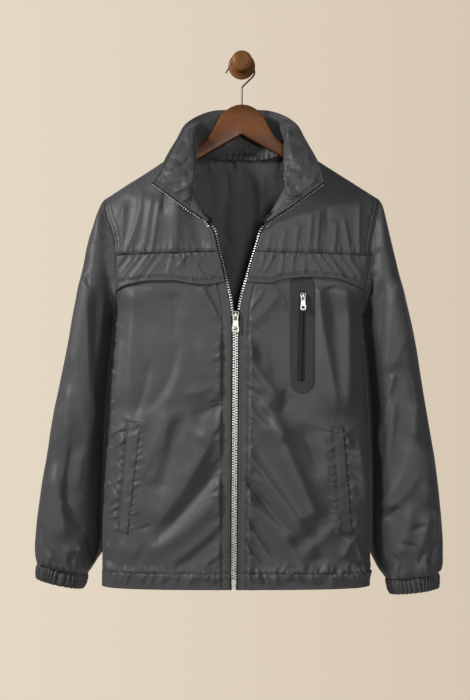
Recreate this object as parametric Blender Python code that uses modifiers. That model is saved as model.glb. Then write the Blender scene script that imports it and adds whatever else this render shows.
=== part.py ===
"""Zip jacket of thin grey softshell, hung on a wooden hanger from a turned wall peg.

Metres, +Z up. -Y is the jacket's front, the wall is the plane y = 0, and +X is the wearer's left, which is
the right-hand side as the jacket is looked at. The origin is the middle of the peg's back face.
Every cloth panel is a wall lofted through the rows of its table. Half widths count from a leaning middle line,
because the jacket hangs a little to one side.
"""

import math

import bmesh
import bpy
import numpy as np
from mathutils import Vector

# ---------------------------------------------------------------- driving sizes
CLOTH = 0.0012  # thickness of one wall of cloth
HEM_CLOTH = 0.0022  # the hem is turned up and stitched, so its wall is double
FACING_CLOTH = 0.0018  # facing and front sewn together
COLLAR_CLOTH = 0.0018  # two layers of the collar
SEAM = 0.0002  # each panel stops this short of its seam line
ARMPIT = 9  # row of FRONT where the armhole ends
BACK_ARMPIT = 8
NECK_CROSSING = 4  # row of FRONT where the neck seam meets the roll line
FACING_END = 5.8  # row of FRONT where the turned-out facing has run out
YOKE_ROW = 7
NECK_SHARE = 0.36  # share of the half back taken by the neck

CHAIN_HALF = 0.00375
TAPE_WIDTH = 0.0019
TEETH_THICK = 0.0024

# Rows from the shoulder seam to the hem. "in" is the neck, roll or zip edge, "out" the armhole or side seam.
# reach and corner are the two handles' shares of the width, y_corner the depth of the outer handle.
FRONT_COLUMNS = ("z_in", "w_in", "lean_in", "y_in", "z_out", "w_out", "lean_out", "y_out", "reach", "corner", "y_corner")
FRONT = (
    (-0.1390, 0.0810, -0.0010, -0.0452, -0.2305, 0.2255, 0.0000, -0.0457, 0.33, 0.33, -0.0455),
    (-0.1425, 0.0845, -0.0012, -0.0560, -0.2335, 0.2270, 0.0000, -0.0535, 0.33, 0.30, -0.0560),
    (-0.1600, 0.0890, -0.0020, -0.0740, -0.2460, 0.2268, 0.0000, -0.0660, 0.35, 0.25, -0.0745),
    (-0.1900, 0.0855, -0.0040, -0.0930, -0.2665, 0.2215, 0.0000, -0.0755, 0.38, 0.20, -0.0860),
    (-0.2220, 0.0745, -0.0050, -0.1060, -0.2900, 0.2148, 0.0020, -0.0820, 0.42, 0.16, -0.0920),
    (-0.2525, 0.0597, -0.0070, -0.1090, -0.3090, 0.2110, 0.0020, -0.0850, 0.48, 0.14, -0.0955),
    (-0.2850, 0.0420, -0.0070, -0.1095, -0.3200, 0.2100, 0.0020, -0.0862, 0.52, 0.12, -0.0975),
    (-0.3245, 0.0303, -0.0085, -0.1095, -0.3300, 0.2095, 0.0020, -0.0868, 0.56, 0.10, -0.0985),
    (-0.3730, 0.0176, -0.0097, -0.1085, -0.3850, 0.2055, -0.0010, -0.0855, 0.62, 0.06, -0.1000),
    (-0.4210, 0.0078, -0.0108, -0.1075, -0.4250, 0.2035, -0.0050, -0.0560, 0.66, 0.00, -0.0960),
    (-0.4750, 0.0063, -0.0108, -0.1085, -0.4750, 0.2080, -0.0056, -0.0560, 0.68, 0.00, -0.0980),
    (-0.5600, 0.0063, -0.0114, -0.1110, -0.5600, 0.2150, -0.0058, -0.0560, 0.70, 0.00, -0.1000),
    (-0.6600, 0.0063, -0.0121, -0.1120, -0.6600, 0.2203, -0.0068, -0.0560, 0.70, 0.00, -0.1005),
    (-0.7700, 0.0063, -0.0129, -0.1110, -0.7700, 0.2232, -0.0085, -0.0560, 0.70, 0.00, -0.1000),
    (-0.8740, 0.0063, -0.0135, -0.1060, -0.8740, 0.2220, -0.0100, -0.0560, 0.70, 0.00, -0.0960),
)
# "mid" is the centre back, "neck" the point below the neck corner, "out" the armhole or side seam.
BACK_COLUMNS = ("z_mid", "y_mid", "z_neck", "w_neck", "y_neck", "z_out", "w_out", "lean_out", "y_out", "reach", "corner", "y_corner")
BACK = (
    (-0.1590, -0.0180, -0.1390, 0.0810, -0.0448, -0.2305, 0.2255, 0.0000, -0.0453, 0.33, 0.33, -0.0451),
    (-0.1640, -0.0165, -0.1425, 0.0840, -0.0345, -0.2335, 0.2270, 0.0000, -0.0375, 0.33, 0.30, -0.0350),
    (-0.1780, -0.0150, -0.1600, 0.0860, -0.0215, -0.2460, 0.2268, 0.0000, -0.0270, 0.35, 0.25, -0.0210),
    (-0.2050, -0.0140, -0.1950, 0.0880, -0.0160, -0.2700, 0.2190, 0.0000, -0.0215, 0.40, 0.20, -0.0160),
    (-0.2500, -0.0135, -0.2450, 0.0900, -0.0140, -0.3050, 0.2110, 0.0020, -0.0200, 0.45, 0.16, -0.0150),
    (-0.3000, -0.0135, -0.2980, 0.0900, -0.0135, -0.3400, 0.2075, 0.0015, -0.0205, 0.50, 0.14, -0.0150),
    (-0.3500, -0.0135, -0.3500, 0.0900, -0.0135, -0.3780, 0.2055, -0.0010, -0.0235, 0.54, 0.12, -0.0150),
    (-0.3950, -0.0135, -0.3950, 0.0900, -0.0135, -0.4080, 0.2045, -0.0035, -0.0340, 0.58, 0.08, -0.0160),
    (-0.4250, -0.0135, -0.4250, 0.0900, -0.0135, -0.4250, 0.2035, -0.0050, -0.0560, 0.62, 0.00, -0.0190),
    (-0.4750, -0.0135, -0.4750, 0.0900, -0.0135, -0.4750, 0.2080, -0.0056, -0.0560, 0.64, 0.00, -0.0170),
    (-0.5600, -0.0130, -0.5600, 0.0900, -0.0130, -0.5600, 0.2150, -0.0058, -0.0560, 0.66, 0.00, -0.0160),
    (-0.6600, -0.0130, -0.6600, 0.0900, -0.0130, -0.6600, 0.2203, -0.0068, -0.0560, 0.66, 0.00, -0.0160),
    (-0.7700, -0.0135, -0.7700, 0.0900, -0.0135, -0.7700, 0.2232, -0.0085, -0.0560, 0.66, 0.00, -0.0165),
    (-0.8740, -0.0150, -0.8740, 0.0900, -0.0150, -0.8740, 0.2220, -0.0100, -0.0560, 0.66, 0.00, -0.0180),
)
# Rings from the armhole to the cuff: outer and inner edge of the sleeve, its front and back, how far the
# wearer's left one hangs lower.
SLEEVE_COLUMNS = ("w_outer", "z_outer", "lean_outer", "drop_outer", "w_inner", "z_inner", "lean_inner", "drop_inner", "y_front", "y_back")
SLEEVE = (
    (0.2259, -0.2305, 0.0000, 0.0000, 0.2040, -0.4250, -0.0050, 0.0000, -0.0870, -0.0205),
    (0.2345, -0.2480, -0.0010, 0.0000, 0.2052, -0.4285, -0.0050, 0.0000, -0.0890, -0.0185),
    (0.2430, -0.2740, -0.0020, 0.0000, 0.2066, -0.4345, -0.0052, 0.0000, -0.0935, -0.0150),
    (0.2515, -0.3060, -0.0030, 0.0000, 0.2080, -0.4450, -0.0055, 0.0000, -0.0975, -0.0125),
    (0.2595, -0.3400, -0.0030, 0.0000, 0.2097, -0.4610, -0.0056, 0.0000, -0.0995, -0.0112),
    (0.2665, -0.3720, -0.0020, 0.0000, 0.2120, -0.4840, -0.0056, 0.0000, -0.1005, -0.0106),
    (0.2770, -0.4200, -0.0010, 0.0000, 0.2152, -0.5200, -0.0057, 0.0000, -0.1010, -0.0104),
    (0.2880, -0.4750, 0.0000, 0.0000, 0.2187, -0.5650, -0.0058, 0.0000, -0.1015, -0.0104),
    (0.2995, -0.5340, -0.0015, 0.0000, 0.2214, -0.6130, -0.0063, 0.0000, -0.1015, -0.0106),
    (0.3105, -0.5950, -0.0025, 0.0000, 0.2233, -0.6620, -0.0068, 0.0000, -0.1010, -0.0110),
    (0.3205, -0.6550, -0.0025, 0.0000, 0.2246, -0.7100, -0.0075, 0.0000, -0.1000, -0.0118),
    (0.3295, -0.7150, -0.0035, 0.0000, 0.2254, -0.7550, -0.0083, 0.0000, -0.0990, -0.0128),
    (0.3365, -0.7750, -0.0048, 0.0000, 0.2257, -0.7950, -0.0088, 0.0000, -0.0980, -0.0140),
    (0.3388, -0.8100, -0.0050, 0.0010, 0.2290, -0.8230, -0.0095, 0.0000, -0.0965, -0.0155),
    (0.3380, -0.8300, -0.0055, 0.0040, 0.2370, -0.8440, -0.0105, 0.0020, -0.0920, -0.0190),
    (0.3329, -0.8442, -0.0067, 0.0072, 0.2495, -0.8618, -0.0087, 0.0037, -0.0830, -0.0260),
)
CUFF = (
    (0.3329, -0.8445, -0.0067, 0.0072, 0.2495, -0.8621, -0.0087, 0.0037, -0.0830, -0.0260),
    (0.3352, -0.8570, -0.0070, 0.0075, 0.2515, -0.8745, -0.0087, 0.0040, -0.0845, -0.0245),
    (0.3349, -0.8698, -0.0072, 0.0078, 0.2566, -0.8870, -0.0087, 0.0044, -0.0820, -0.0270),
)
# Collar stations from the front edge round to the centre back: the roll, the fall and the top edge of each, as
# half width, y and z. lean is the middle line of the station. The neck seam comes from the panels below it.
COLLAR_COLUMNS = ("lean", "w_roll", "y_roll", "z_roll", "w_fall", "y_fall", "z_fall", "lean_top", "w_top", "y_top", "z_top")
COLLAR = (
    (-0.0065, 0.0930, -0.1180, -0.2460, 0.1150, -0.1185, -0.2295, -0.0065, 0.1387, -0.1160, -0.2125),
    (-0.0060, 0.0880, -0.1195, -0.2320, 0.1110, -0.1195, -0.2170, -0.0037, 0.1332, -0.1120, -0.1995),
    (-0.0055, 0.0765, -0.1190, -0.2160, 0.1010, -0.1175, -0.2040, -0.0020, 0.1276, -0.1060, -0.1850),
    (-0.0045, 0.0735, -0.1085, -0.1950, 0.0915, -0.1115, -0.1840, -0.0020, 0.1210, -0.0960, -0.1690),
    (-0.0030, 0.0730, -0.0920, -0.1700, 0.0845, -0.0960, -0.1570, -0.0018, 0.1113, -0.0810, -0.1490),
    (-0.0020, 0.0725, -0.0710, -0.1460, 0.0800, -0.0760, -0.1330, -0.0015, 0.1030, -0.0650, -0.1310),
    (-0.0015, 0.0780, -0.0480, -0.1270, 0.0785, -0.0530, -0.1120, -0.0015, 0.0950, -0.0480, -0.1115),
    (-0.0010, 0.0560, -0.0250, -0.1340, 0.0600, -0.0265, -0.1080, -0.0010, 0.0745, -0.0245, -0.0905),
    (-0.0008, 0.0275, -0.0182, -0.1380, 0.0300, -0.0172, -0.1065, -0.0008, 0.0400, -0.0155, -0.0785),
    (0.0000, 0.0000, -0.0170, -0.1385, 0.0000, -0.0150, -0.1070, 0.0000, 0.0000, -0.0130, -0.0770),
)
COLLAR_HEIGHTS = (0.0, 0.27, 0.6, 1.0)
SHOULDER_STATION = 6
CROSSING_STATION = 2
# Free edge of the turned-out facing, from the neck seam to where it runs into the front edge.
FACING_COLUMNS = ("lean", "w", "y", "z")
FACING_EDGE = (
    (-0.0065, 0.0779, -0.1160, -0.2572),
    (-0.0068, 0.0695, -0.1155, -0.2622),
    (-0.0070, 0.0602, -0.1145, -0.2678),
    (-0.0070, 0.0478, -0.1125, -0.2752),
)
# Free edge of the yoke flap: share of the way from the front edge to the armhole, and height.
FLAP_COLUMNS = ("share", "z")
FLAP_EDGE_RIGHT = ((0.0, -0.3730), (0.10, -0.3777), (0.20, -0.3752), (0.30, -0.3712), (0.45, -0.3715), (0.74, -0.3780), (1.0, -0.3885))
FLAP_EDGE_LEFT = ((0.0, -0.3732), (0.10, -0.3752), (0.18, -0.3690), (0.32, -0.3655), (0.50, -0.3675), (0.74, -0.3790), (1.0, -0.3900))
FLAP_LIFT = 0.0040
# Pocket welts: x and z of the upper and lower end of each long edge.
WELT_COLUMNS = ("x_top", "z_top", "x_bottom", "z_bottom")
WELT_RIGHT = {"outer": (-0.1870, -0.6020, -0.2035, -0.7800), "inner": (-0.1646, -0.6030, -0.1856, -0.7860)}
WELT_LEFT = {"outer": (0.1634, -0.6095, 0.1789, -0.7834), "inner": (0.1443, -0.6090, 0.1593, -0.7834)}
WELT_THICK = 0.0012
# Chest pocket, on the wearer's left
PATCH_X = 0.0973
PATCH_WIDTH = 0.0412
PATCH_TOP = -0.3560
PATCH_LOW = -0.5549
PATCH_THICK = 0.0007
CHEST_ZIP_WIDTH = 0.0110
CHEST_ZIP_TOP = -0.3890
CHEST_ZIP_LOW = -0.5345
CHEST_ZIP_LEAN = -0.0030  # the slot drifts this far towards the front edge on its way down
COIL_WIDTH = 0.0042
# Hanger, hook and peg
WOOD_THICK = 0.0120
WOOD_Y = -0.0454
HANGER_UPPER = ((0.0, -0.0743), (0.0090, -0.0752), (0.0174, -0.0783), (0.0268, -0.0838), (0.0336, -0.0905), (0.0398, -0.1010),
                (0.0443, -0.1105), (0.0510, -0.1222), (0.0560, -0.1290), (0.0633, -0.1365), (0.0714, -0.1432), (0.0800, -0.1486),
                (0.1000, -0.1560), (0.1300, -0.1742), (0.1650, -0.1960), (0.2010, -0.2190))
HANGER_LOWER = ((0.2060, -0.2255), (0.2035, -0.2345), (0.1900, -0.2290), (0.1500, -0.2075), (0.0740, -0.1656), (0.0, -0.1242))
WIRE = 0.0015
# Bends of the hook's wire from the wood up: x, y, z. The rest is an arc over the peg's neck and a straight end.
HOOK_RISE = ((0.0, -0.0450, -0.0739), (0.0, -0.0450, -0.0600), (0.0002, -0.0450, -0.0462), (0.0020, -0.0445, -0.0430),
             (0.0178, -0.0350, -0.0258), (0.0206, -0.0325, -0.0212), (0.0213, -0.0308, -0.0160), (0.0203, -0.0300, -0.0095),
             (0.0182, -0.0300, -0.0030), (0.0162, -0.0300, 0.0010))
HOOK_Y = -0.0300
HOOK_RADIUS = 0.0149
HOOK_FALL = ((-0.0170, -0.0010), (-0.0215, -0.0085), (-0.0270, -0.0180))
PEG_PROFILE = ((0.0225, 0.0), (0.0230, 0.0015), (0.0222, 0.0035), (0.0180, 0.0060), (0.0142, 0.0100), (0.0130, 0.0150),
               (0.0130, 0.0330), (0.0138, 0.0352), (0.0160, 0.0370), (0.0172, 0.0400), (0.0172, 0.0440), (0.0155, 0.0475), (0.0110, 0.0495), (0.0, 0.0502))

for item in list(bpy.data.objects):
    bpy.data.objects.remove(item, do_unlink=True)
jacket = bpy.data.collections.new("zip_jacket")
cutters = bpy.data.collections.new("cutters")
cutters.hide_render = True
bpy.context.scene.collection.children.link(jacket)
bpy.context.scene.collection.children.link(cutters)


# ---------------------------------------------------------------- materials
def material(name, colour, roughness, metallic):
    made = bpy.data.materials.new(name)
    made.use_nodes = True
    shader = made.node_tree.nodes["Principled BSDF"]
    shader.inputs["Base Color"].default_value = (*colour, 1.0)
    shader.inputs["Roughness"].default_value = roughness
    shader.inputs["Metallic"].default_value = metallic
    return made


SHELL = material("softshell", (0.075, 0.076, 0.080), 0.50, 0.0)
SHELL_TRIM = material("softshell_trim", (0.060, 0.061, 0.065), 0.55, 0.0)
BONDED = material("bonded_patch", (0.045, 0.046, 0.049), 0.75, 0.0)
TAPE = material("zip_tape", (0.020, 0.020, 0.022), 0.80, 0.0)
NICKEL = material("nickel", (0.62, 0.59, 0.54), 0.28, 1.0)
WOOD = material("hanger_wood", (0.20, 0.075, 0.030), 0.38, 0.0)
PEG_WOOD = material("peg_wood", (0.26, 0.115, 0.045), 0.45, 0.0)
STEEL = material("hook_steel", (0.18, 0.17, 0.16), 0.35, 1.0)


# ---------------------------------------------------------------- curves through tables
def soft_curve(places, rows):
    """A function that gives the row at any place, on a soft curve through the rows that never overshoots them."""
    places = np.asarray(places, float)
    rows = np.asarray(rows, float)
    step = np.diff(places)[:, None]
    rise = np.diff(rows, axis=0) / step
    slope = np.zeros_like(rows)
    slope[0], slope[-1] = rise[0], rise[-1]
    product = rise[1:] * rise[:-1]
    total = rise[1:] + rise[:-1]
    safe = np.where(product > 0, total, 1.0)
    slope[1:-1] = np.where(product > 0, 2 * product / safe, 0.0)

    def at(place):
        i = int(min(max(np.searchsorted(places, place) - 1, 0), len(step) - 1))
        h = step[i, 0]
        t = (place - places[i]) / h
        a = 2 * t**3 - 3 * t**2 + 1
        b = t**3 - 2 * t**2 + t
        c = -2 * t**3 + 3 * t**2
        d = t**3 - t**2
        return a * rows[i] + b * h * slope[i] + c * rows[i + 1] + d * h * slope[i + 1]

    return at


def bezier(a, b, c, d, t):
    s = 1.0 - t
    return a * s**3 + b * (3 * s * s * t) + c * (3 * s * t * t) + d * t**3


front_row = soft_curve(range(len(FRONT)), FRONT)
back_row = soft_curve(range(len(BACK)), BACK)
sleeve_row = soft_curve(range(len(SLEEVE)), SLEEVE)
cuff_row = soft_curve(range(len(CUFF)), CUFF)
collar_station = soft_curve(range(len(COLLAR)), COLLAR)
facing_edge = soft_curve(range(len(FACING_EDGE)), FACING_EDGE)


def front(side, u, v):
    """Point of the front's outer face: u from the front edge to the side, v down the rows of FRONT."""
    z_in, w_in, lean_in, y_in, z_out, w_out, lean_out, y_out, reach, corner, y_corner = front_row(v)
    start = Vector((lean_in + side * w_in, y_in, z_in))
    end = Vector((lean_out + side * w_out, y_out, z_out))
    first = start.lerp(end, reach)
    first.y = y_in
    second = end.lerp(start, corner)
    second.y = y_corner
    return bezier(start, first, second, end, u)


def back(side, u, v):
    """Point of the back's outer face: u from the centre back to the side, v down the rows of BACK."""
    z_mid, y_mid, z_neck, w_neck, y_neck, z_out, w_out, lean_out, y_out, reach, corner, y_corner = back_row(v)
    neck = Vector((lean_out + side * w_neck, y_neck, z_neck))
    if u < NECK_SHARE:
        t = u / NECK_SHARE
        return Vector((lean_out + side * w_neck * t, y_mid + (y_neck - y_mid) * t**3, z_mid + (z_neck - z_mid) * t**4))
    end = Vector((lean_out + side * w_out, y_out, z_out))
    first = neck.lerp(end, reach)
    first.y = y_neck
    second = end.lerp(neck, corner)
    second.y = y_corner
    return bezier(neck, first, second, end, (u - NECK_SHARE) / (1.0 - NECK_SHARE))


def normal_of(surface, side, u, v, outward, top_u=1.0, top_v=100.0):
    """Unit normal of surface(side, u, v), turned to the side of the direction given."""
    step = 0.004
    u0, u1 = max(u - step, 0.0), min(u + step, top_u)
    v0, v1 = max(v - step, 0.0), min(v + step, top_v)
    across = surface(side, u1, v) - surface(side, u0, v)
    down = surface(side, u, v1) - surface(side, u, v0)
    found = across.cross(down).normalized()
    return found if found.dot(outward) > 0 else -found


def place_on(side, x, z):
    """The u and v at which the front's outer face has this x and z."""
    u, v = 0.5, 10.0
    for _ in range(14):
        low, high = 0.0, float(len(FRONT) - 1)
        for _ in range(22):
            v = (low + high) / 2
            low, high = (v, high) if front(side, u, v).z > z else (low, v)
        low, high = 0.0, 1.0
        for _ in range(22):
            u = (low + high) / 2
            low, high = (u, high) if side * (front(side, u, v).x - x) < 0 else (low, u)
    return u, v


def lifted(side, x, z, height):
    """A point that stands the height off the front's outer face at this x and z, and the normal there."""
    u, v = place_on(side, x, z)
    normal = normal_of(front, side, u, v, Vector((side * 0.2, -1, 0)), 1.0, len(FRONT) - 1)
    return front(side, u, v) + normal * (height - sunk(v)), normal


# ---------------------------------------------------------------- solids from grids
def finish(name, mesh, look):
    made = bpy.data.objects.new(name, mesh)
    jacket.objects.link(made)
    mesh.materials.append(look)
    return made


def wall(name, points, normals, look, thickness=CLOTH, ring=False):
    """A cloth wall: the grid of points is its outer face, and the same grid moved in is its inner face."""
    rows, columns = len(points), len(points[0])
    work = bmesh.new()
    outer, inner = [], []
    for i in range(rows):
        thick = thickness[i] if isinstance(thickness, list) else thickness
        outer.append([work.verts.new(p) for p in points[i]])
        inner.append([work.verts.new(p - n * thick) for p, n in zip(points[i], normals[i])])
    last = columns if ring else columns - 1
    for i in range(rows - 1):
        for j in range(last):
            k = (j + 1) % columns
            work.faces.new((outer[i][j], outer[i][k], outer[i + 1][k], outer[i + 1][j]))
            work.faces.new((inner[i][j], inner[i + 1][j], inner[i + 1][k], inner[i][k]))
    for j in range(last):
        k = (j + 1) % columns
        work.faces.new((outer[0][j], inner[0][j], inner[0][k], outer[0][k]))
        work.faces.new((outer[-1][j], outer[-1][k], inner[-1][k], inner[-1][j]))
    if not ring:
        for i in range(rows - 1):
            work.faces.new((outer[i][0], outer[i + 1][0], inner[i + 1][0], inner[i][0]))
            work.faces.new((outer[i][-1], inner[i][-1], inner[i + 1][-1], outer[i + 1][-1]))
    bmesh.ops.recalc_face_normals(work, faces=work.faces)
    mesh = bpy.data.meshes.new(name)
    work.to_mesh(mesh)
    work.free()
    return finish(name, mesh, look)


def drawn_in(points, amount=SEAM, top=True, bottom=True, start=True, end=True):
    """The grid with its border lines pulled in, so that neighbouring panels stop short of their seam."""
    grid = [[p.copy() for p in row] for row in points]

    def pull(i, j, near_i, near_j):
        grid[i][j] += (points[near_i][near_j] - points[i][j]).normalized() * amount

    rows, columns = len(grid), len(grid[0])
    for j in range(columns):
        if top:
            pull(0, j, 1, j)
        if bottom:
            pull(rows - 1, j, rows - 2, j)
    for i in range(rows):
        if start:
            pull(i, 0, i, 1)
        if end:
            pull(i, columns - 1, i, columns - 2)
    return grid


def spread(low, high, count):
    return [low + (high - low) * i / (count - 1) for i in range(count)]


# ---------------------------------------------------------------- the armhole loop
def at_height(surface, side, z, last):
    low, high = 0.0, float(last)
    for _ in range(30):
        middle = (low + high) / 2
        low, high = (middle, high) if surface(side, 1.0, middle).z > z else (low, middle)
    return surface(side, 1.0, (low + high) / 2)


def hole_middle(side):
    return Vector((side * 0.214, -0.054, -0.327))


def hole_normal(side, point, sleeve):
    """Seam normal at a point of the armhole: out from the hole's middle, leaning to the panel's own side below."""
    ray = point - hole_middle(side)
    ray.x = 0.0
    ray.normalize()
    lean = max(0.0, -ray.z) ** 2 * (-1.0 if sleeve else 1.0)
    return (ray + Vector((side * lean, 0, 0))).normalized()


def front_normal(side, u, v):
    """The front's outward normal, set by hand along the seams that it shares."""
    own = normal_of(front, side, u, v, Vector((side * 0.2, -1, 0.05)), 1.0, len(FRONT) - 1)
    if u == 1.0 and v < ARMPIT:
        return hole_normal(side, front(side, u, v), False)
    if v == 0.0:
        seam = front(side, 1.0, 0.0) - front(side, 0.0, 0.0)
        return Vector((-seam.z * side, 0.0, abs(seam.x))).normalized()
    if u == 0.0 and v < FACING_END + 0.8:
        if v <= NECK_CROSSING:
            turn = 0.35 + 0.65 * v / NECK_CROSSING
        else:
            turn = min(1.0, max(0.0, (FACING_END + 0.8 - v) / 0.8))
        return (own * (1.0 - turn) + Vector((side * turn, 0, 0))).normalized()
    return own


def back_normal(side, u, v):
    own = normal_of(back, side, u, v, Vector((side * 0.2, 1, 0.05)), 1.0, len(BACK) - 1)
    if u == 1.0 and v < BACK_ARMPIT:
        return hole_normal(side, back(side, u, v), False)
    if v == 0.0 and u > NECK_SHARE:
        seam = back(side, 1.0, 0.0) - back(side, NECK_SHARE, 0.0)
        return Vector((-seam.z * side, 0.0, abs(seam.x))).normalized()
    if v == 0.0:
        station = len(COLLAR) - 1 - u / NECK_SHARE * (len(COLLAR) - 1 - SHOULDER_STATION)
        return (own + collar_normal(side, station, 0.03)).normalized()
    return own


# ---------------------------------------------------------------- front: yoke, flap, lower front
YOKE_ROWS = [0, 0.5, 1, 1.5, 2, 2.5, 3, 3.5, 4, 4.6, 5.2, 5.8, 6.4, 7]
LOWER_ROWS = [7, 7.4, 7.8, 8.2, 8.6, 9, 9.5, 10, 10.7, 11.4, 12.1, 12.8, 13.4, 13.77, 14]
SHARES = spread(0.0, 1.0, 11)


def sunk(v):
    """How deep the lower front lies below the yoke's face where the flap covers it."""
    return max(0.0, 1.0 - (v - YOKE_ROW) / 1.6) * (CLOTH + 0.0006)


def make_front(side, label):
    points = [[front(side, u, v) for u in SHARES] for v in YOKE_ROWS]
    normals = [[front_normal(side, u, v) for u in SHARES] for v in YOKE_ROWS]
    wall(f"yoke_{label}", drawn_in(points), normals, SHELL)

    normals = [[front_normal(side, u, v) for u in SHARES] for v in LOWER_ROWS]
    points = []
    for v, row in zip(LOWER_ROWS, normals):
        points.append([front(side, u, v) - n * sunk(v) for u, n in zip(SHARES, row)])
    thick = [HEM_CLOTH if v > 13.6 else CLOTH for v in LOWER_ROWS]
    wall(f"front_{label}", drawn_in(points, bottom=False), normals, SHELL, thick)

    edge = soft_curve(*zip(*[(s, (z,)) for s, z in (FLAP_EDGE_LEFT if side > 0 else FLAP_EDGE_RIGHT)]))
    points, normals = [], []
    for k in range(5):
        share = k / 4
        row, row_normals = [], []
        for u in SHARES:
            low, high = float(YOKE_ROW), 9.5
            for _ in range(24):
                v = (low + high) / 2
                low, high = (v, high) if front(side, u, v).z > edge(u)[0] else (low, v)
            v = YOKE_ROW + (v - YOKE_ROW) * share
            n = front_normal(side, u, v)
            row.append(front(side, u, v) + n * (FLAP_LIFT * share**1.5 * min(1.0, 0.25 + 6 * min(u, 1 - u))))
            row_normals.append(n)
        points.append(row)
        normals.append(row_normals)
    wall(f"flap_{label}", drawn_in(points, bottom=False), normals, SHELL)


# ---------------------------------------------------------------- back
def make_back():
    rows = [0, 0.5, 1, 1.5, 2, 2.5, 3, 3.7, 4.4, 5.2, 6, 6.8, 7.4, 8, 8.5, 9, 9.8, 10.7, 11.6, 12.4, 12.77, 13]
    half = [0.0, 0.12, 0.24, 0.30, NECK_SHARE, 0.48, 0.60, 0.72, 0.83, 0.92, 1.0]
    points, normals = [], []
    for v in rows:
        points.append([back(-1, u, v) for u in reversed(half)] + [back(1, u, v) for u in half[1:]])
        normals.append([back_normal(-1, u, v) for u in reversed(half)] + [back_normal(1, u, v) for u in half[1:]])
    thick = [HEM_CLOTH if v > 12.6 else CLOTH for v in rows]
    wall("back", drawn_in(points, bottom=False), normals, SHELL, thick)


# ---------------------------------------------------------------- sleeves and cuffs
RING = 18
ROUNDNESS = 2.35
SLEEVE_TUCK = 0.018  # the edge next to the body lies this much nearer the wall


def ring_point(row, side, angle, flute=0.0):
    w_outer, z_outer, lean_outer, drop_outer, w_inner, z_inner, lean_inner, drop_inner, y_front, y_back = row
    low = 1.0 if side > 0 else -1.0
    outer = Vector((lean_outer + side * w_outer, 0, z_outer - low * drop_outer))
    inner = Vector((lean_inner + side * w_inner, 0, z_inner - low * drop_inner))
    c, s = math.cos(angle), math.sin(angle)
    c = math.copysign(abs(c) ** (2 / ROUNDNESS), c)
    s = math.copysign(abs(s) ** (2 / ROUNDNESS), s)
    place = (outer + inner) / 2 + (outer - inner) / 2 * c * (1 + flute)
    place.y = (y_front + y_back) / 2 + (y_front - y_back) / 2 * s * (1 + flute) + SLEEVE_TUCK * ((1 - c) / 2) ** 2
    return place


def hole_point(side, angle):
    """The armhole loop at an angle: 0 is the shoulder, a quarter turn the front, half a turn the armpit."""
    top, low = front(side, 1.0, 0.0).z, front(side, 1.0, ARMPIT).z
    c = math.cos(angle)
    c = math.copysign(abs(c) ** (2 / ROUNDNESS), c)
    z = top + (low - top) * (1 - c) / 2
    if math.sin(angle) >= 0:
        return at_height(front, side, z, ARMPIT)
    return at_height(back, side, z, BACK_ARMPIT)


def make_sleeve(side, label):
    rows = [0.5, 1, 1.6, 2.3, 3, 3.9, 4.8, 5.9, 7.1, 8.4, 9.7, 11.0, 12.2, 13, 13.6, 14.2, 15]
    angles = [2 * math.pi * k / RING for k in range(RING)]
    hole = [hole_point(side, a) for a in angles]
    points = [[p + Vector((side * 0.0006, 0, 0)) for p in hole]]
    for v in rows:
        ring = [ring_point(sleeve_row(v), side, a) for a in angles]
        if v < 2.0:
            blend = 0.5 - 0.5 * math.cos(math.pi * v / 2.0)
            ring = [(h + Vector((side * 0.0075 * v, 0, -0.002 * v))).lerp(p, blend) for h, p in zip(hole, ring)]
        points.append(ring)
    normals = ring_normals(points)
    normals[0] = [hole_normal(side, p, True) for p in hole]
    wall(f"sleeve_{label}", drawn_in(points, start=False, end=False, top=False), normals, SHELL, ring=True)


def ring_normals(points):
    rows, columns = len(points), len(points[0])
    normals = []
    for i in range(rows):
        middle = sum(points[i], Vector()) / columns
        row = []
        for j in range(columns):
            along = points[min(i + 1, rows - 1)][j] - points[max(i - 1, 0)][j]
            around = points[i][(j + 1) % columns] - points[i][j - 1]
            n = along.cross(around).normalized()
            row.append(n if n.dot(points[i][j] - middle) > 0 else -n)
        normals.append(row)
    return normals


def make_cuff(side, label):
    count = 28
    angles = [2 * math.pi * k / count for k in range(count)]
    points = []
    for v, flute in ((0.0, 0.0), (0.35, 0.018), (1.2, 0.024), (2.0, 0.010)):
        points.append([ring_point(cuff_row(v), side, a, flute * (1 if k % 2 else -1)) for k, a in enumerate(angles)])
    normals = ring_normals(points)
    wall(f"cuff_{label}", points, normals, SHELL_TRIM, 0.0018, ring=True)


# ---------------------------------------------------------------- collar and turned-out facing
def neck_seam(side, s):
    """The neck seam at a collar station: the facing's top edge, the yoke's inner edge, then the back's neck."""
    if s < CROSSING_STATION:
        return facing(side, 1.0 - s / CROSSING_STATION, 0.0)
    if s < SHOULDER_STATION:
        share = (SHOULDER_STATION - s) / (SHOULDER_STATION - CROSSING_STATION)
        return front(side, 0.0, NECK_CROSSING * share)
    share = (len(COLLAR) - 1 - s) / (len(COLLAR) - 1 - SHOULDER_STATION)
    return back(side, NECK_SHARE * share, 0.0)


def collar(side, s, h):
    """Point of the collar's outer face: s from the front edge to the centre back, h from the neck seam up."""
    lean, w_roll, y_roll, z_roll, w_fall, y_fall, z_fall, lean_top, w_top, y_top, z_top = collar_station(s)
    columns = [
        (lean + side * w_roll, y_roll, z_roll),
        ((lean + lean_top) / 2 + side * w_fall, y_fall, z_fall),
        (lean_top + side * w_top, y_top, z_top),
    ]
    seam = neck_seam(side, s)
    seam += (Vector(columns[0]) - seam).normalized() * (0.0005 if s > SHOULDER_STATION + 0.4 else 0.0009)
    return Vector(soft_curve(COLLAR_HEIGHTS, [tuple(seam)] + columns)(h))


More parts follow.
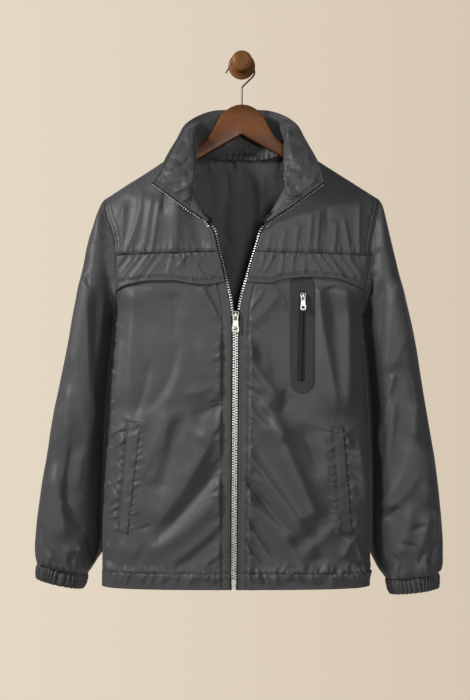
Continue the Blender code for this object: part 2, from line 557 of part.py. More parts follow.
def collar_normal(side, s, h):
    """The collar's outward normal. Along the neck seam it is that of the panel it is sewn to."""
    if h == 0.0 and s > SHOULDER_STATION:
        share = (len(COLLAR) - 1 - s) / (len(COLLAR) - 1 - SHOULDER_STATION)
        return back_normal(side, NECK_SHARE * share, 0.0)
    if h == 0.0 and s >= CROSSING_STATION:
        share = (SHOULDER_STATION - s) / (SHOULDER_STATION - CROSSING_STATION)
        return front_normal(side, 0.0, NECK_CROSSING * share)
    top = len(COLLAR) - 1.0
    step = 0.01
    across = collar(side, min(s + step, top), h) - collar(side, max(s - step, 0.0), h)
    up = collar(side, s, min(h + step, 1.0)) - collar(side, s, max(h - step, 0.0))
    return across.cross(up).normalized() * side


def make_collar():
    half = [0, 0.5, 1, 1.5, 2, 2.5, 3, 3.5, 4, 4.5, 5, 5.5, 6, 6.5, 7, 8, 9]
    heights = [0.0, 0.12, 0.27, 0.45, 0.7, 1.0]
    points, normals = [], []
    for h in heights:
        points.append([collar(-1, s, h) for s in half] + [collar(1, s, h) for s in reversed(half[:-1])])
        normals.append([collar_normal(-1, s, h) for s in half] + [collar_normal(1, s, h) for s in reversed(half[:-1])])
    wall("collar", points, normals, SHELL_TRIM, COLLAR_CLOTH)


def facing(side, u, k):
    """Point of the facing's hidden face: u from the roll line to the free edge, k down from the neck seam."""
    last = len(FACING_EDGE) - 1
    v = NECK_CROSSING + (FACING_END - NECK_CROSSING) * k / last
    roll = front(side, 0.0, v)
    lean, w, y, z = facing_edge(k)
    edge = Vector((lean + side * w, y, z))
    bend = roll.lerp(edge, 0.35)
    bend.y = min(roll.y, edge.y) - 0.002
    return roll * (1 - u) ** 2 + bend * (2 * u * (1 - u)) + edge * u**2


def make_facing(side, label):
    last = len(FACING_EDGE) - 1
    points, normals = [], []
    for k in spread(0.0, last * 0.82, 6):
        row, row_normals = [], []
        for u in (0.0, 0.2, 0.45, 0.7, 1.0):
            n = normal_of(facing, side, u, k, Vector((side * 0.3, 1, 0)), 1.0, last)
            if u == 0.0:
                n = Vector((side, 0.15, 0)).normalized()
            row.append(facing(side, u, k))
            row_normals.append(n)
        points.append(row)
        normals.append(row_normals)
    wall(f"facing_{label}", drawn_in(points, amount=0.0003, end=False), normals, SHELL, FACING_CLOTH)


# ---------------------------------------------------------------- main zip
def zip_path(side, low_row=14.0):
    """Points along the middle of the front edge's cloth, hem to collar tip, each with its outer face's normal."""
    path = []
    for v in [14, 13.5, 13, 12.5, 12, 11.5, 11, 10.5, 10, 9.6, 9.3, 9, 8.7, 8.3, 8, 7.6, 7.2, 6.8, 6.5, 6.25]:
        v = min(v, low_row)
        n = front_normal(side, 0.0, v)
        path.append((front(side, 0.0, v) - n * (CLOTH / 2), n))
    last = len(FACING_EDGE) - 1
    for k in [last - 0.4, last - 0.8, 1.7, 1.2, 0.6, 0.2]:
        n = normal_of(facing, side, 1.0, k, Vector((0, 1, 0)), 1.0, last)
        n = (n + Vector((side, 0, 0)) * max(0.0, 1.0 - (last - k) / 0.8)).normalized()
        path.append((facing(side, 1.0, k) - n * (FACING_CLOTH / 2), n))
    for h in [0.1, 0.25, 0.4, 0.55, 0.7, 0.85, 1.0]:
        n = collar_normal(side, 0.0, h)
        path.append((collar(side, 0.0, h) - n * (COLLAR_CLOTH / 2), n))
    return path


def turned_over(frames, most=0.45):
    """The same frames, with more put in where the strip turns over, so that no two are far apart in angle."""
    finer = [frames[0]]
    for (p, along, away), (q, next_along, next_away) in zip(frames, frames[1:]):
        steps = max(1, round(away.angle(next_away) / most))
        for k in range(1, steps + 1):
            t = k / steps
            finer.append((p.lerp(q, t), along.slerp(next_along, t), away.slerp(next_away, t)))
    return finer


def zip_strip(name, side, near, far, thick, look, first=0, last=None, low_row=14.0):
    """A strip beside the front edge, from near to far off it, along the opening."""
    path = zip_path(side, low_row)
    spots = [p for p, _ in path]
    frames = []
    for i, (p, n) in enumerate(path):
        along = spots[min(i + 1, len(spots) - 1)] - spots[max(i - 1, 0)]
        frames.append((p, along.normalized(), along.cross(n).normalized() * -side))
    points, normals = [], []
    for p, along, away in turned_over(frames[first:last]):
        n = away.cross(along).normalized() * -side
        outer = p + n * (thick / 2)
        points.append([outer + away * near, outer + away * far])
        normals.append([n, n])
    return wall(name, points, normals, look, thick)


def make_zip(side, label):
    zip_strip(f"zip_tape_{label}", side, 0.0003, 0.0003 + TAPE_WIDTH, 0.0009, TAPE)
    near = 0.0006 + TAPE_WIDTH
    zip_strip(f"zip_teeth_{label}", side, near, near + CHAIN_HALF - 0.00015, TEETH_THICK, NICKEL, low_row=13.87)


# ---------------------------------------------------------------- pockets
def on_panel(name, side, rows, height, thick, look):
    """A flat piece that lies on the front: rows of (x, z) points, its outer face standing the height off."""
    points, normals = [], []
    for row in rows:
        spots = [lifted(side, x, z, height) for x, z in row]
        points.append([p for p, _ in spots])
        normals.append([n for _, n in spots])
    return wall(name, points, normals, look, thick)


def make_welt(side, label):
    edges = WELT_LEFT if side > 0 else WELT_RIGHT
    rows = []
    for t in spread(0.0, 1.0, 11):
        ends = []
        for edge in ("inner", "outer"):
            x_top, z_top, x_bottom, z_bottom = edges[edge]
            ends.append((x_top + (x_bottom - x_top) * t, z_top + (z_bottom - z_top) * t))
        (x0, z0), (x1, z1) = ends
        rows.append([(x0 + (x1 - x0) * k, z0 + (z1 - z0) * k) for k in (0.0, 0.33, 0.67, 1.0)])
    on_panel(f"welt_{label}", side, rows, 0.0003 + WELT_THICK, WELT_THICK, SHELL)


def make_chest_pocket():
    round_from = PATCH_LOW + PATCH_WIDTH / 2
    rows = []
    for z in spread(PATCH_TOP, round_from, 9) + [round_from - PATCH_WIDTH / 2 * k for k in (0.35, 0.65, 0.85, 0.97)]:
        below = max(0.0, (round_from - z) / (PATCH_WIDTH / 2))
        half = PATCH_WIDTH / 2 * math.sqrt(max(0.0, 1.0 - below**2))
        rows.append([(PATCH_X + half * k, z) for k in (-1.0, -0.6, -0.2, 0.2, 0.6, 1.0)])
    on_panel("chest_patch", 1, rows, 0.0003 + PATCH_THICK, PATCH_THICK, BONDED)

    def slot(name, width, top, low, height, thick, look):
        rows = []
        for t in spread(0.0, 1.0, 8):
            z = top + (low - top) * t
            middle = PATCH_X + 0.0017 + CHEST_ZIP_LEAN * (CHEST_ZIP_TOP - z) / (CHEST_ZIP_TOP - CHEST_ZIP_LOW)
            rows.append([(middle - width / 2, z), (middle + width / 2, z)])
        on_panel(name, 1, rows, height, thick, look)

    level = 0.0003 + PATCH_THICK
    slot("chest_zip_tape", CHEST_ZIP_WIDTH, CHEST_ZIP_TOP, CHEST_ZIP_LOW, level + 0.0008, 0.0005, TAPE)
    slot("chest_zip_coil", COIL_WIDTH, CHEST_ZIP_TOP - 0.001, CHEST_ZIP_LOW + 0.002, level + 0.0023, 0.0012, TAPE)


# ---------------------------------------------------------------- hard pieces
def block(name, low, high, look=None, holder=jacket):
    work = bmesh.new()
    bmesh.ops.create_cube(work, size=1.0)
    low, high = Vector(low), Vector(high)
    for v in work.verts:
        v.co = Vector([low[k] + (high[k] - low[k]) * (v.co[k] + 0.5) for k in range(3)])
    mesh = bpy.data.meshes.new(name)
    work.to_mesh(mesh)
    work.free()
    made = bpy.data.objects.new(name, mesh)
    holder.objects.link(made)
    if look:
        mesh.materials.append(look)
    return made


def plate(name, outline, y_front, y_back, look=None, holder=jacket):
    """A flat plate: its outline as (x, z) points, standing between two depths."""
    work = bmesh.new()
    ring = [work.verts.new((x, y_front, z)) for x, z in outline]
    face = work.faces.new(ring)
    made = bmesh.ops.extrude_face_region(work, geom=[face])
    for item in made["geom"]:
        if isinstance(item, bmesh.types.BMVert):
            item.co.y = y_back
    bmesh.ops.recalc_face_normals(work, faces=work.faces)
    mesh = bpy.data.meshes.new(name)
    work.to_mesh(mesh)
    work.free()
    obj = bpy.data.objects.new(name, mesh)
    holder.objects.link(obj)
    if look:
        mesh.materials.append(look)
    return obj


def joined(target, tool, how):
    step = target.modifiers.new(how.lower(), "BOOLEAN")
    step.operation = how
    step.solver = "EXACT"
    step.object = tool
    return target


def softened(target, width, segments=2):
    step = target.modifiers.new("bevel", "BEVEL")
    step.width = width
    step.segments = segments
    step.limit_method = "ANGLE"
    step.angle_limit = math.radians(40)
    return target


def make_slider(prefix, x, y_face, z_top, size, back_gap):
    """Slider and pull tab. The face plate's front is at y_face, size scales the whole, and back_gap is how far
    behind the face its rear plate lies, or None where only the face plate is above the cloth."""

    def at(dx, dz):
        return x + dx * size, z_top + dz * size

    outline = [at(dx, dz) for dx, dz in ((-0.0046, 0), (0.0046, 0), (0.0060, -0.0030), (0.0046, -0.0130), (-0.0046, -0.0130), (-0.0060, -0.0030))]
    body = plate(f"{prefix}_slider", outline, y_face, y_face + 0.0020 * size, NICKEL)
    if back_gap:
        rear = plate(f"{prefix}_rear", outline, y_face + back_gap, y_face + back_gap + 0.0016, None, cutters)
        joined(body, rear, "UNION")
        post = block(f"{prefix}_post", (x - 0.0010, y_face + 0.0010, z_top - 0.0014), (x + 0.0010, y_face + back_gap + 0.0006, z_top - 0.0001), None, cutters)
        joined(body, post, "UNION")
    bridge = block(
        f"{prefix}_bridge",
        (x - 0.0012 * size, y_face - 0.0042 * size, z_top - 0.0098 * size),
        (x + 0.0012 * size, y_face + 0.0004, z_top - 0.0022 * size),
        None,
        cutters,
    )
    gap = block(
        f"{prefix}_bridge_gap",
        (x - 0.0050 * size, y_face - 0.0032 * size, z_top - 0.0086 * size),
        (x + 0.0050 * size, y_face - 0.0000, z_top - 0.0034 * size),
        None,
        cutters,
    )
    joined(bridge, gap, "DIFFERENCE")
    joined(body, bridge, "UNION")

    hinge = Vector((x, y_face - 0.0016 * size, z_top - 0.0060 * size))
    tab = [(-0.0036, 0.0008), (0.0036, 0.0008), (0.0042, -0.0020), (0.0042, -0.0100), (0.0048, -0.0150), (0.0058, -0.0210),
           (0.0058, -0.0262), (0.0044, -0.0285), (-0.0044, -0.0285), (-0.0058, -0.0262), (-0.0058, -0.0210),
           (-0.0048, -0.0150), (-0.0042, -0.0100), (-0.0042, -0.0020)]
    outline = [(dx * size, dz * size) for dx, dz in tab]
    pull = plate(f"{prefix}_pull", outline, -0.0008 * size, 0.0008 * size, NICKEL)
    window = block(f"{prefix}_window", (-0.0022 * size, -0.004, -0.0075 * size), (0.0022 * size, 0.004, -0.0008 * size), None, cutters)
    slot = block(f"{prefix}_pull_slot", (-0.0030 * size, -0.004, -0.0252 * size), (0.0030 * size, 0.004, -0.0212 * size), None, cutters)
    joined(pull, window, "DIFFERENCE")
    joined(pull, slot, "DIFFERENCE")
    for item in (pull, window, slot):
        item.location = hinge


def make_main_slider():
    row = front_row(9.05)
    chain_front = row[3] + CLOTH / 2 - TEETH_THICK / 2
    make_slider("main", row[2], chain_front - 0.0023, -0.4212, 1.0, 0.0020 + 0.0006 + TEETH_THICK)
    low = front_row(13.88)
    middle = low[3] + CLOTH / 2
    stop = block("zip_stop", (low[2] - 0.0037, middle - 0.0018, low[0] - 0.0100), (low[2] + 0.0037, middle + 0.0018, low[0] - 0.0003), NICKEL)
    softened(stop, 0.0005)


def make_chest_slider():
    top = lifted(1, PATCH_X + 0.0017, -0.3950, 0.0)[0]
    make_slider("chest", PATCH_X + 0.0016, top.y - 0.0003 - PATCH_THICK - 0.0023 - 0.0003 - 0.0019, -0.3912, 0.82, None)


def make_hanger(side, label):
    outline = [(side * max(w, 0.00015), z) for w, z in HANGER_UPPER + HANGER_LOWER]
    half = plate(f"hanger_{label}", outline, WOOD_Y - WOOD_THICK / 2, WOOD_Y + WOOD_THICK / 2, WOOD)
    softened(half, 0.0025, 3)


def make_hook():
    placed = list(HOOK_RISE)
    for degrees in range(15, 171, 12):
        angle = math.radians(degrees)
        placed.append((HOOK_RADIUS * math.cos(angle), HOOK_Y, HOOK_RADIUS * math.sin(angle)))
    placed += [(x, HOOK_Y, z) for x, z in HOOK_FALL]
    curve = bpy.data.curves.new("hook_wire", "CURVE")
    curve.dimensions = "3D"
    line = curve.splines.new("POLY")
    line.points.add(len(placed) - 1)
    for point, place in zip(line.points, placed):
        point.co = (*place, 1.0)
    curve.bevel_depth = WIRE
    curve.bevel_resolution = 2
    curve.use_fill_caps = True
    curve.materials.append(STEEL)
    made = bpy.data.objects.new("hook_wire", curve)
    jacket.objects.link(made)


def make_peg():
    mesh = bpy.data.meshes.new("wall_peg")
    profile = [(r, 0.0, h) for r, h in reversed(PEG_PROFILE)] + [(0.0, 0.0, 0.0)]
    mesh.from_pydata(profile, [(k, k + 1) for k in range(len(profile) - 1)], [])
    peg = finish("wall_peg", mesh, PEG_WOOD)
    turn = peg.modifiers.new("turned", "SCREW")
    turn.axis = "Z"
    turn.steps = 40
    turn.render_steps = 40
    turn.use_merge_vertices = True
    turn.merge_threshold = 0.00001
    peg.rotation_euler = (math.radians(90), 0, 0)


for side, label in ((-1, "right"), (1, "left")):
    make_front(side, label)
    make_sleeve(side, label)
    make_cuff(side, label)
    make_facing(side, label)
    make_zip(side, label)
make_back()
make_collar()
make_welt(-1, "right")
make_welt(1, "left")
make_chest_pocket()
make_main_slider()
make_chest_slider()
make_hanger(-1, "right")
make_hanger(1, "left")
make_hook()
make_peg()
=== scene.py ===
# %% [markdown]
# # A grey softshell jacket on a wooden hanger
# This lesson dresses a plain model of a zip jacket. The plain model holds the sizes: every panel, the zips,
# the hanger and the wall peg are solids there, and the two zip pulls swing. Here each cloth panel becomes a
# thin sheet with its own folds, seams get stitches, and the zips get teeth. Everything is in metres, +Z up;
# -Y is the front and +X the wearer's left. The wall is at y = 0, and the origin is the middle of the peg's back.

# %% Load the fixed frame
import math

import bmesh
import bpy
import numpy as np
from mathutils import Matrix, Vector


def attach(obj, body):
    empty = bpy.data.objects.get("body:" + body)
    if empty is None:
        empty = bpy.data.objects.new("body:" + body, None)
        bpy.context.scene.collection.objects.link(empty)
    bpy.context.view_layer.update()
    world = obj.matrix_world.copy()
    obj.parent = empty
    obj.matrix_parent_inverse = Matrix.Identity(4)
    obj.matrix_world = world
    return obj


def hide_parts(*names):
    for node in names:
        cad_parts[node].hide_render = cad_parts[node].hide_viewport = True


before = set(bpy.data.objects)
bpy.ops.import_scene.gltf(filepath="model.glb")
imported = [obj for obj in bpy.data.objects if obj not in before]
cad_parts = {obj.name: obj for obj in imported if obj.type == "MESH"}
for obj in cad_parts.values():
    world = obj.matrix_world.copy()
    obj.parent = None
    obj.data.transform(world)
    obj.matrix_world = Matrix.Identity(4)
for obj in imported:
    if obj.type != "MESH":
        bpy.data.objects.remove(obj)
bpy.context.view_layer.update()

BODY = "jacket"

# %% [markdown]
# ## Camera, light and floor
# The jacket is seen straight on, level with its chest, from a little over two metres. One soft lamp stands well
# to the left and a little above the shoulders. Light that comes from so far to the side skims the cloth, so even
# a shallow fold is light on its left and dark on its right, and the turned-out collar throws a shadow on the
# yoke. Lit from the front the same folds would vanish. Two weak lamps in front keep the shade open, and a dim
# sky fills the rest. The floor lies where a floor would be below a coat peg.

# %% Camera
scene = bpy.context.scene
camera_data = bpy.data.cameras.new("camera")
camera_data.lens = 66.3
camera_data.sensor_width = 36.0
camera = bpy.data.objects.new("camera", camera_data)
camera.location = (-0.0115, -2.20, -0.484)
camera.rotation_euler = (math.radians(90), 0, 0)
scene.collection.objects.link(camera)
scene.camera = camera
scene.view_settings.view_transform = "Standard"
print("camera", tuple(round(v, 3) for v in camera.location), "lens", camera_data.lens)


# %% Node helpers
class Nodes:
    """Short names for adding and joining the nodes of a finish or of the sky."""

    def __init__(self, owner):
        self.tree = owner.node_tree

    def join(self, source, target):
        self.tree.links.new(source, target)

    def add(self, kind, inputs=(), **settings):
        """A new node with its settings. Its inputs are numbers or the outputs of other nodes."""
        node = self.tree.nodes.new("ShaderNode" + kind)
        for name, value in settings.items():
            setattr(node, name, value)
        for name, value in dict(inputs).items():
            if isinstance(value, bpy.types.NodeSocket):
                self.join(value, node.inputs[name])
            else:
                node.inputs[name].default_value = value
        return node

    def place(self, scale=(1, 1, 1), turn=(0, 0, 0)):
        """Places on the piece itself, stretched and turned."""
        source = self.add("TexCoord").outputs["Object"]
        return self.add("Mapping", {"Vector": source, "Scale": scale, "Rotation": turn}).outputs["Vector"]

    def cut(self):
        """Places on the flat cut."""
        return self.add("UVMap", uv_map="cut").outputs["UV"]

    def noise(self, place, scale, detail=2.0, rough=0.5, twist=0.0):
        inputs = {"Vector": place, "Scale": scale, "Detail": detail, "Roughness": rough, "Distortion": twist}
        return self.add("TexNoise", inputs).outputs["Fac"]

    def wave(self, place, scale, direction, twist=0.0):
        inputs = {"Vector": place, "Scale": scale, "Distortion": twist}
        return self.add("TexWave", inputs, wave_type="BANDS", bands_direction=direction).outputs["Fac"]

    def sum(self, a, b, how="ADD"):
        """Two values, or a value and a number, taken together by any kind of sum."""
        return self.add("Math", {0: a, 1: b}, operation=how).outputs[0]

    def ridged(self, source):
        """A noise folded at its middle, so that it has sharp valleys."""
        return self.sum(self.sum(source, 0.5, "SUBTRACT"), 1.0, "ABSOLUTE")

    def ramp(self, source, *stops):
        node = self.add("ValToRGB", {0: source})
        node.color_ramp.elements[0].position, node.color_ramp.elements[-1].position = stops[0][0], stops[-1][0]
        for place, _ in stops[1:-1]:
            node.color_ramp.elements.new(place)
        for element, (_, colour) in zip(node.color_ramp.elements, stops):
            element.color = (*colour, 1)
        return node.outputs["Color"]

    def spread(self, source, low, high):
        return self.add("MapRange", {"Value": source, "To Min": low, "To Max": high}).outputs["Result"]

    def gathers(self, label):
        """Fine ridges in mm, from a sheet's own attribute: across and along the gathers, and their height."""
        drawn = self.add("Attribute", attribute_name=label).outputs["Vector"]
        x, y, high = self.add("SeparateXYZ", {0: drawn}).outputs
        ridges = self.noise(self.add("CombineXYZ", {"X": x, "Y": y}).outputs[0], 1.0, 1.5, 0.5, 0.4)
        return self.sum(self.sum(self.sum(ridges, 0.5, "SUBTRACT"), 3.0, "MULTIPLY"), high, "MULTIPLY")

    def bump(self, source, depth, strength=1.0, under=None):
        inputs = {"Height": source, "Distance": depth, "Strength": strength}
        return self.add("Bump", inputs | ({} if under is None else {"Normal": under})).outputs["Normal"]


# %% Lamps, sky and floor
def lamp(name, place, target, width, watts, colour):
    """A round soft lamp that points at the target."""
    data = bpy.data.lights.new(name, "AREA")
    data.shape = "DISK"
    data.size = width
    data.energy = watts
    data.color = colour
    obj = bpy.data.objects.new(name, data)
    obj.location = place
    aim = Vector(target) - Vector(place)
    obj.rotation_euler = aim.to_track_quat("-Z", "Y").to_euler()
    scene.collection.objects.link(obj)


WARM, COOL = (1.0, 0.985, 0.965), (0.98, 0.985, 1.0)
lamp("key", (-1.98, -1.32, 0.76), (0.0, -0.1, -0.48), 0.36, 54.0, WARM)
lamp("fill", (1.70, -2.00, 0.60), (0.05, -0.1, -0.55), 0.6, 5.0, COOL)
lamp("front", (0.45, -2.90, -0.20), (0.0, -0.1, -0.45), 0.5, 19.0, COOL)

world = bpy.data.worlds.new("pale_room")
scene.world = world
world.use_nodes = True
room = world.node_tree.nodes["Background"]
room.inputs["Color"].default_value = (0.97, 0.97, 1.0, 1)
room.inputs["Strength"].default_value = 0.10
# The camera alone sees a warm wall all round, with painted light: lighter on the left and darker on the right.
sky = Nodes(world)
across = sky.add("SeparateXYZ", {0: sky.add("TexCoord").outputs["Generated"]}).outputs["X"]
across = sky.add("Math", {0: across, 1: 2.2, 2: 0.5}, operation="MULTIPLY_ADD").outputs[0]
wall = sky.add("Background", {"Color": sky.ramp(across, (0.0, (0.800, 0.705, 0.575)), (1.0, (0.665, 0.562, 0.445)))})
seen = sky.add("LightPath").outputs["Is Camera Ray"]
mixed = sky.add("MixShader", {0: seen, 1: room.outputs[0], 2: wall.outputs[0]})
sky.join(mixed.outputs[0], world.node_tree.nodes["World Output"].inputs["Surface"])

bpy.ops.object.select_all(action="DESELECT")
bpy.ops.mesh.primitive_circle_add(vertices=96, radius=1.9, fill_type="NGON", location=(0, 0, -1.62))
floor = bpy.context.object
floor.name = "floor"
floor_look = bpy.data.materials.new("pale_floor")
floor_look.use_nodes = True
floor_shader = floor_look.node_tree.nodes["Principled BSDF"]
floor_shader.inputs["Base Color"].default_value = (0.62, 0.58, 0.52, 1)
floor_shader.inputs["Roughness"].default_value = 0.8
floor.data.materials.append(floor_look)
print("lamps, sky and floor are in")

# %% [markdown]
# ## The shape of the cloth
# A jacket that hangs is a set of soft surfaces, each between two curved edges. The tables give, row by row,
# where the edges of a panel lie; a soft curve runs through the rows, and between the two edges the cloth
# follows one smooth bend. They are the sizes of the plain model, so that the fine sheets fall on its solids.

# %% Tables of the panels
def in_metres(table):
    """A table in mm, in metres: rounded, so that dividing it leaves no odd last digit."""
    return np.round(np.array(table) / 1000, 7)


# Lengths in mm and shares in thousandths. Rows from the shoulder to the hem. Inner edge: z, half width, lean, y.
# Outer edge: the same. Then the bend between them: two shares of the way across, and y.
FRONT = in_metres([
    (-139, 81, -1, -45.2, -230.5, 225.5, 0, -45.7, 330, 330, -45.5),
    (-142.5, 84.5, -1.2, -56, -233.5, 227, 0, -53.5, 330, 300, -56),
    (-160, 89, -2, -74, -246, 226.8, 0, -66, 350, 250, -74.5),
    (-190, 85.5, -4, -93, -266.5, 221.5, 0, -75.5, 380, 200, -86),
    (-222, 74.5, -5, -106, -290, 214.8, 2, -82, 420, 160, -92),
    (-252.5, 59.7, -7, -109, -309, 211, 2, -85, 480, 140, -95.5),
    (-285, 42, -7, -109.5, -320, 210, 2, -86.2, 520, 120, -97.5),
    (-324.5, 30.3, -8.5, -109.5, -330, 209.5, 2, -86.8, 560, 100, -98.5),
    (-373, 17.6, -9.7, -108.5, -385, 205.5, -1, -85.5, 620, 60, -100),
    (-421, 7.8, -10.8, -107.5, -425, 203.5, -5, -56, 660, 0, -96),
    (-475, 6.3, -10.8, -108.5, -475, 208, -5.6, -56, 680, 0, -98),
    (-560, 6.3, -11.4, -111, -560, 215, -5.8, -56, 700, 0, -100),
    (-660, 6.3, -12.1, -112, -660, 220.3, -6.8, -56, 700, 0, -100.5),
    (-770, 6.3, -12.9, -111, -770, 223.2, -8.5, -56, 700, 0, -100),
    (-874, 6.3, -13.5, -106, -874, 222, -10, -56, 700, 0, -96),
])
# Rows from the neck to the hem. Centre back: z, y. Neck corner: z, half width, y. Outer edge: z, half width,
# lean, y. Then the bend.
BACK = in_metres([
    (-159, -18, -139, 81, -44.8, -230.5, 225.5, 0, -45.3, 330, 330, -45.1),
    (-164, -16.5, -142.5, 84, -34.5, -233.5, 227, 0, -37.5, 330, 300, -35),
    (-178, -15, -160, 86, -21.5, -246, 226.8, 0, -27, 350, 250, -21),
    (-205, -14, -195, 88, -16, -270, 219, 0, -21.5, 400, 200, -16),
    (-250, -13.5, -245, 90, -14, -305, 211, 2, -20, 450, 160, -15),
    (-300, -13.5, -298, 90, -13.5, -340, 207.5, 1.5, -20.5, 500, 140, -15),
    (-350, -13.5, -350, 90, -13.5, -378, 205.5, -1, -23.5, 540, 120, -15),
    (-395, -13.5, -395, 90, -13.5, -408, 204.5, -3.5, -34, 580, 80, -16),
    (-425, -13.5, -425, 90, -13.5, -425, 203.5, -5, -56, 620, 0, -19),
    (-475, -13.5, -475, 90, -13.5, -475, 208, -5.6, -56, 640, 0, -17),
    (-560, -13, -560, 90, -13, -560, 215, -5.8, -56, 660, 0, -16),
    (-660, -13, -660, 90, -13, -660, 220.3, -6.8, -56, 660, 0, -16),
    (-770, -13.5, -770, 90, -13.5, -770, 223.2, -8.5, -56, 660, 0, -16.5),
    (-874, -15, -874, 90, -15, -874, 222, -10, -56, 660, 0, -18),
])
# Rings from the armhole to the cuff. Outer edge: half width, z, lean, drop. Inner edge: the same. Front y, back y.
SLEEVE = in_metres([
    (225.9, -230.5, 0, 0, 204, -425, -5, 0, -87, -20.5),
    (234.5, -248, -1, 0, 205.2, -428.5, -5, 0, -89, -18.5),
    (243, -274, -2, 0, 206.6, -434.5, -5.2, 0, -93.5, -15),
    (251.5, -306, -3, 0, 208, -445, -5.5, 0, -97.5, -12.5),
    (259.5, -340, -3, 0, 209.7, -461, -5.6, 0, -99.5, -11.2),
    (266.5, -372, -2, 0, 212, -484, -5.6, 0, -100.5, -10.6),
    (277, -420, -1, 0, 215.2, -520, -5.7, 0, -101, -10.4),
    (288, -475, 0, 0, 218.7, -565, -5.8, 0, -101.5, -10.4),
    (299.5, -534, -1.5, 0, 221.4, -613, -6.3, 0, -101.5, -10.6),
    (310.5, -595, -2.5, 0, 223.3, -662, -6.8, 0, -101, -11),
    (320.5, -655, -2.5, 0, 224.6, -710, -7.5, 0, -100, -11.8),
    (329.5, -715, -3.5, 0, 225.4, -755, -8.3, 0, -99, -12.8),
    (336.5, -775, -4.8, 0, 225.7, -795, -8.8, 0, -98, -14),
    (338.8, -810, -5, 1, 229, -823, -9.5, 0, -96.5, -15.5),
    (338, -830, -5.5, 4, 237, -844, -10.5, 2, -92, -19),
    (332.9, -844.2, -6.7, 7.2, 249.5, -861.8, -8.7, 3.7, -83, -26),
])
CUFF = in_metres([
    (332.9, -844.5, -6.7, 7.2, 249.5, -862.1, -8.7, 3.7, -83, -26),
    (335.2, -857, -7, 7.5, 251.5, -874.5, -8.7, 4, -84.5, -24.5),
    (334.9, -869.8, -7.2, 7.8, 256.6, -887, -8.7, 4.4, -82, -27),
])
# Stations of the collar from the front edge to the centre back: lean, then half width, y and z of the roll and
# of the fall, then lean, half width, y and z of the top edge.
COLLAR = in_metres([
    (-6.5, 93, -118, -246, 115, -118.5, -229.5, -6.5, 138.7, -116, -212.5),
    (-6, 88, -119.5, -232, 111, -119.5, -217, -3.7, 133.2, -112, -199.5),
    (-5.5, 76.5, -119, -216, 101, -117.5, -204, -2, 127.6, -106, -185),
    (-4.5, 73.5, -108.5, -195, 91.5, -111.5, -184, -2, 121, -96, -169),
    (-3, 73, -92, -170, 84.5, -96, -157, -1.8, 111.3, -81, -149),
    (-2, 72.5, -71, -146, 80, -76, -133, -1.5, 103, -65, -131),
    (-1.5, 78, -48, -127, 78.5, -53, -112, -1.5, 95, -48, -111.5),
    (-1, 56, -25, -134, 60, -26.5, -108, -1, 74.5, -24.5, -90.5),
    (-0.8, 27.5, -18.2, -138, 30, -17.2, -106.5, -0.8, 40, -15.5, -78.5),
    (0, 0, -17, -138.5, 0, -15, -107, 0, 0, -13, -77),
])
COLLAR_HEIGHTS = (0.0, 0.27, 0.6, 1.0)
FACING_EDGE = in_metres([(-6.5, 77.9, -116, -257.2), (-6.8, 69.5, -115.5, -262.2),
                         (-7, 60.2, -114.5, -267.8), (-7, 47.8, -112.5, -275.2)])
# The flaps' free edges: share of the front's width, z.
FLAP_EDGE = {-1: ((0.0, -0.3730), (0.10, -0.3777), (0.20, -0.3752), (0.30, -0.3712), (0.45, -0.3715),
                  (0.74, -0.3780), (1.0, -0.3885)),
             1: ((0.0, -0.3732), (0.10, -0.3752), (0.18, -0.3690), (0.32, -0.3655), (0.50, -0.3675),
                 (0.74, -0.3790), (1.0, -0.3900))}
# Rows of the tables: at the armpit in front and behind, where the collar crosses the front, where the facing
# ends, at the yoke's seam and at the hem. The neck takes up a share of the back's half width.
ARMPIT, BACK_ARMPIT, NECK_CROSSING, FACING_END, YOKE_ROW, HEM_ROW, NECK_SHARE = 9, 8, 4, 5.8, 7, 14, 0.36
SHOULDER_STATION, CROSSING_STATION = 6, 2  # of the collar
CLOTH, COLLAR_CLOTH, FACING_CLOTH = 0.0012, 0.0018, 0.0018  # how thick they are
SIDES = ((-1, "right"), (1, "left"))  # the wearer's
print("rows: front", len(FRONT), "back", len(BACK), "sleeve", len(SLEEVE), "collar", len(COLLAR))


# %% Soft curves through a table
def through(rows, places=None):
    """A function of place: the table's row there, on a soft curve that never overshoots the rows."""
    rows = np.asarray(rows, float)
    places = np.arange(len(rows), dtype=float) if places is None else np.asarray(places, float)
    step = np.diff(places)[:, None]
    rise = np.diff(rows, axis=0) / step
    product = rise[1:] * rise[:-1]
    total = np.where(product > 0, rise[1:] + rise[:-1], 1.0)
    slope = np.vstack([rise[:1], np.where(product > 0, 2 * product / total, 0.0), rise[-1:]])

    def at(place):
        place = np.asarray(place, float)
        i = np.clip(np.searchsorted(places, place, side="right") - 1, 0, len(step) - 1)
        h = step[i, 0][..., None]
        t = (place - places[i])[..., None] / h
        return ((2 * t**3 - 3 * t**2 + 1) * rows[i] + (t**3 - 2 * t**2 + t) * h * slope[i]
                + (3 * t**2 - 2 * t**3) * rows[i + 1] + (t**3 - t**2) * h * slope[i + 1])

    return at


def stack(x, y, z):
    """Points from their x, y and z, each a number or an array."""
    x, y, z = np.broadcast_arrays(x, y, z)
    return np.stack([x, y, z], -1).astype(float)


def bend(a, b, c, d, t):
    """A smooth bend from a to d that leaves towards b and comes in from c."""
    t = np.asarray(t, float)[..., None]
    s = 1 - t
    return a * s**3 + 3 * b * s * s * t + 3 * c * s * t * t + d * t**3


front_row, back_row = through(FRONT), through(BACK)
sleeve_row, cuff_row = through(SLEEVE), through(CUFF)
collar_station, facing_row = through(COLLAR), through(FACING_EDGE)


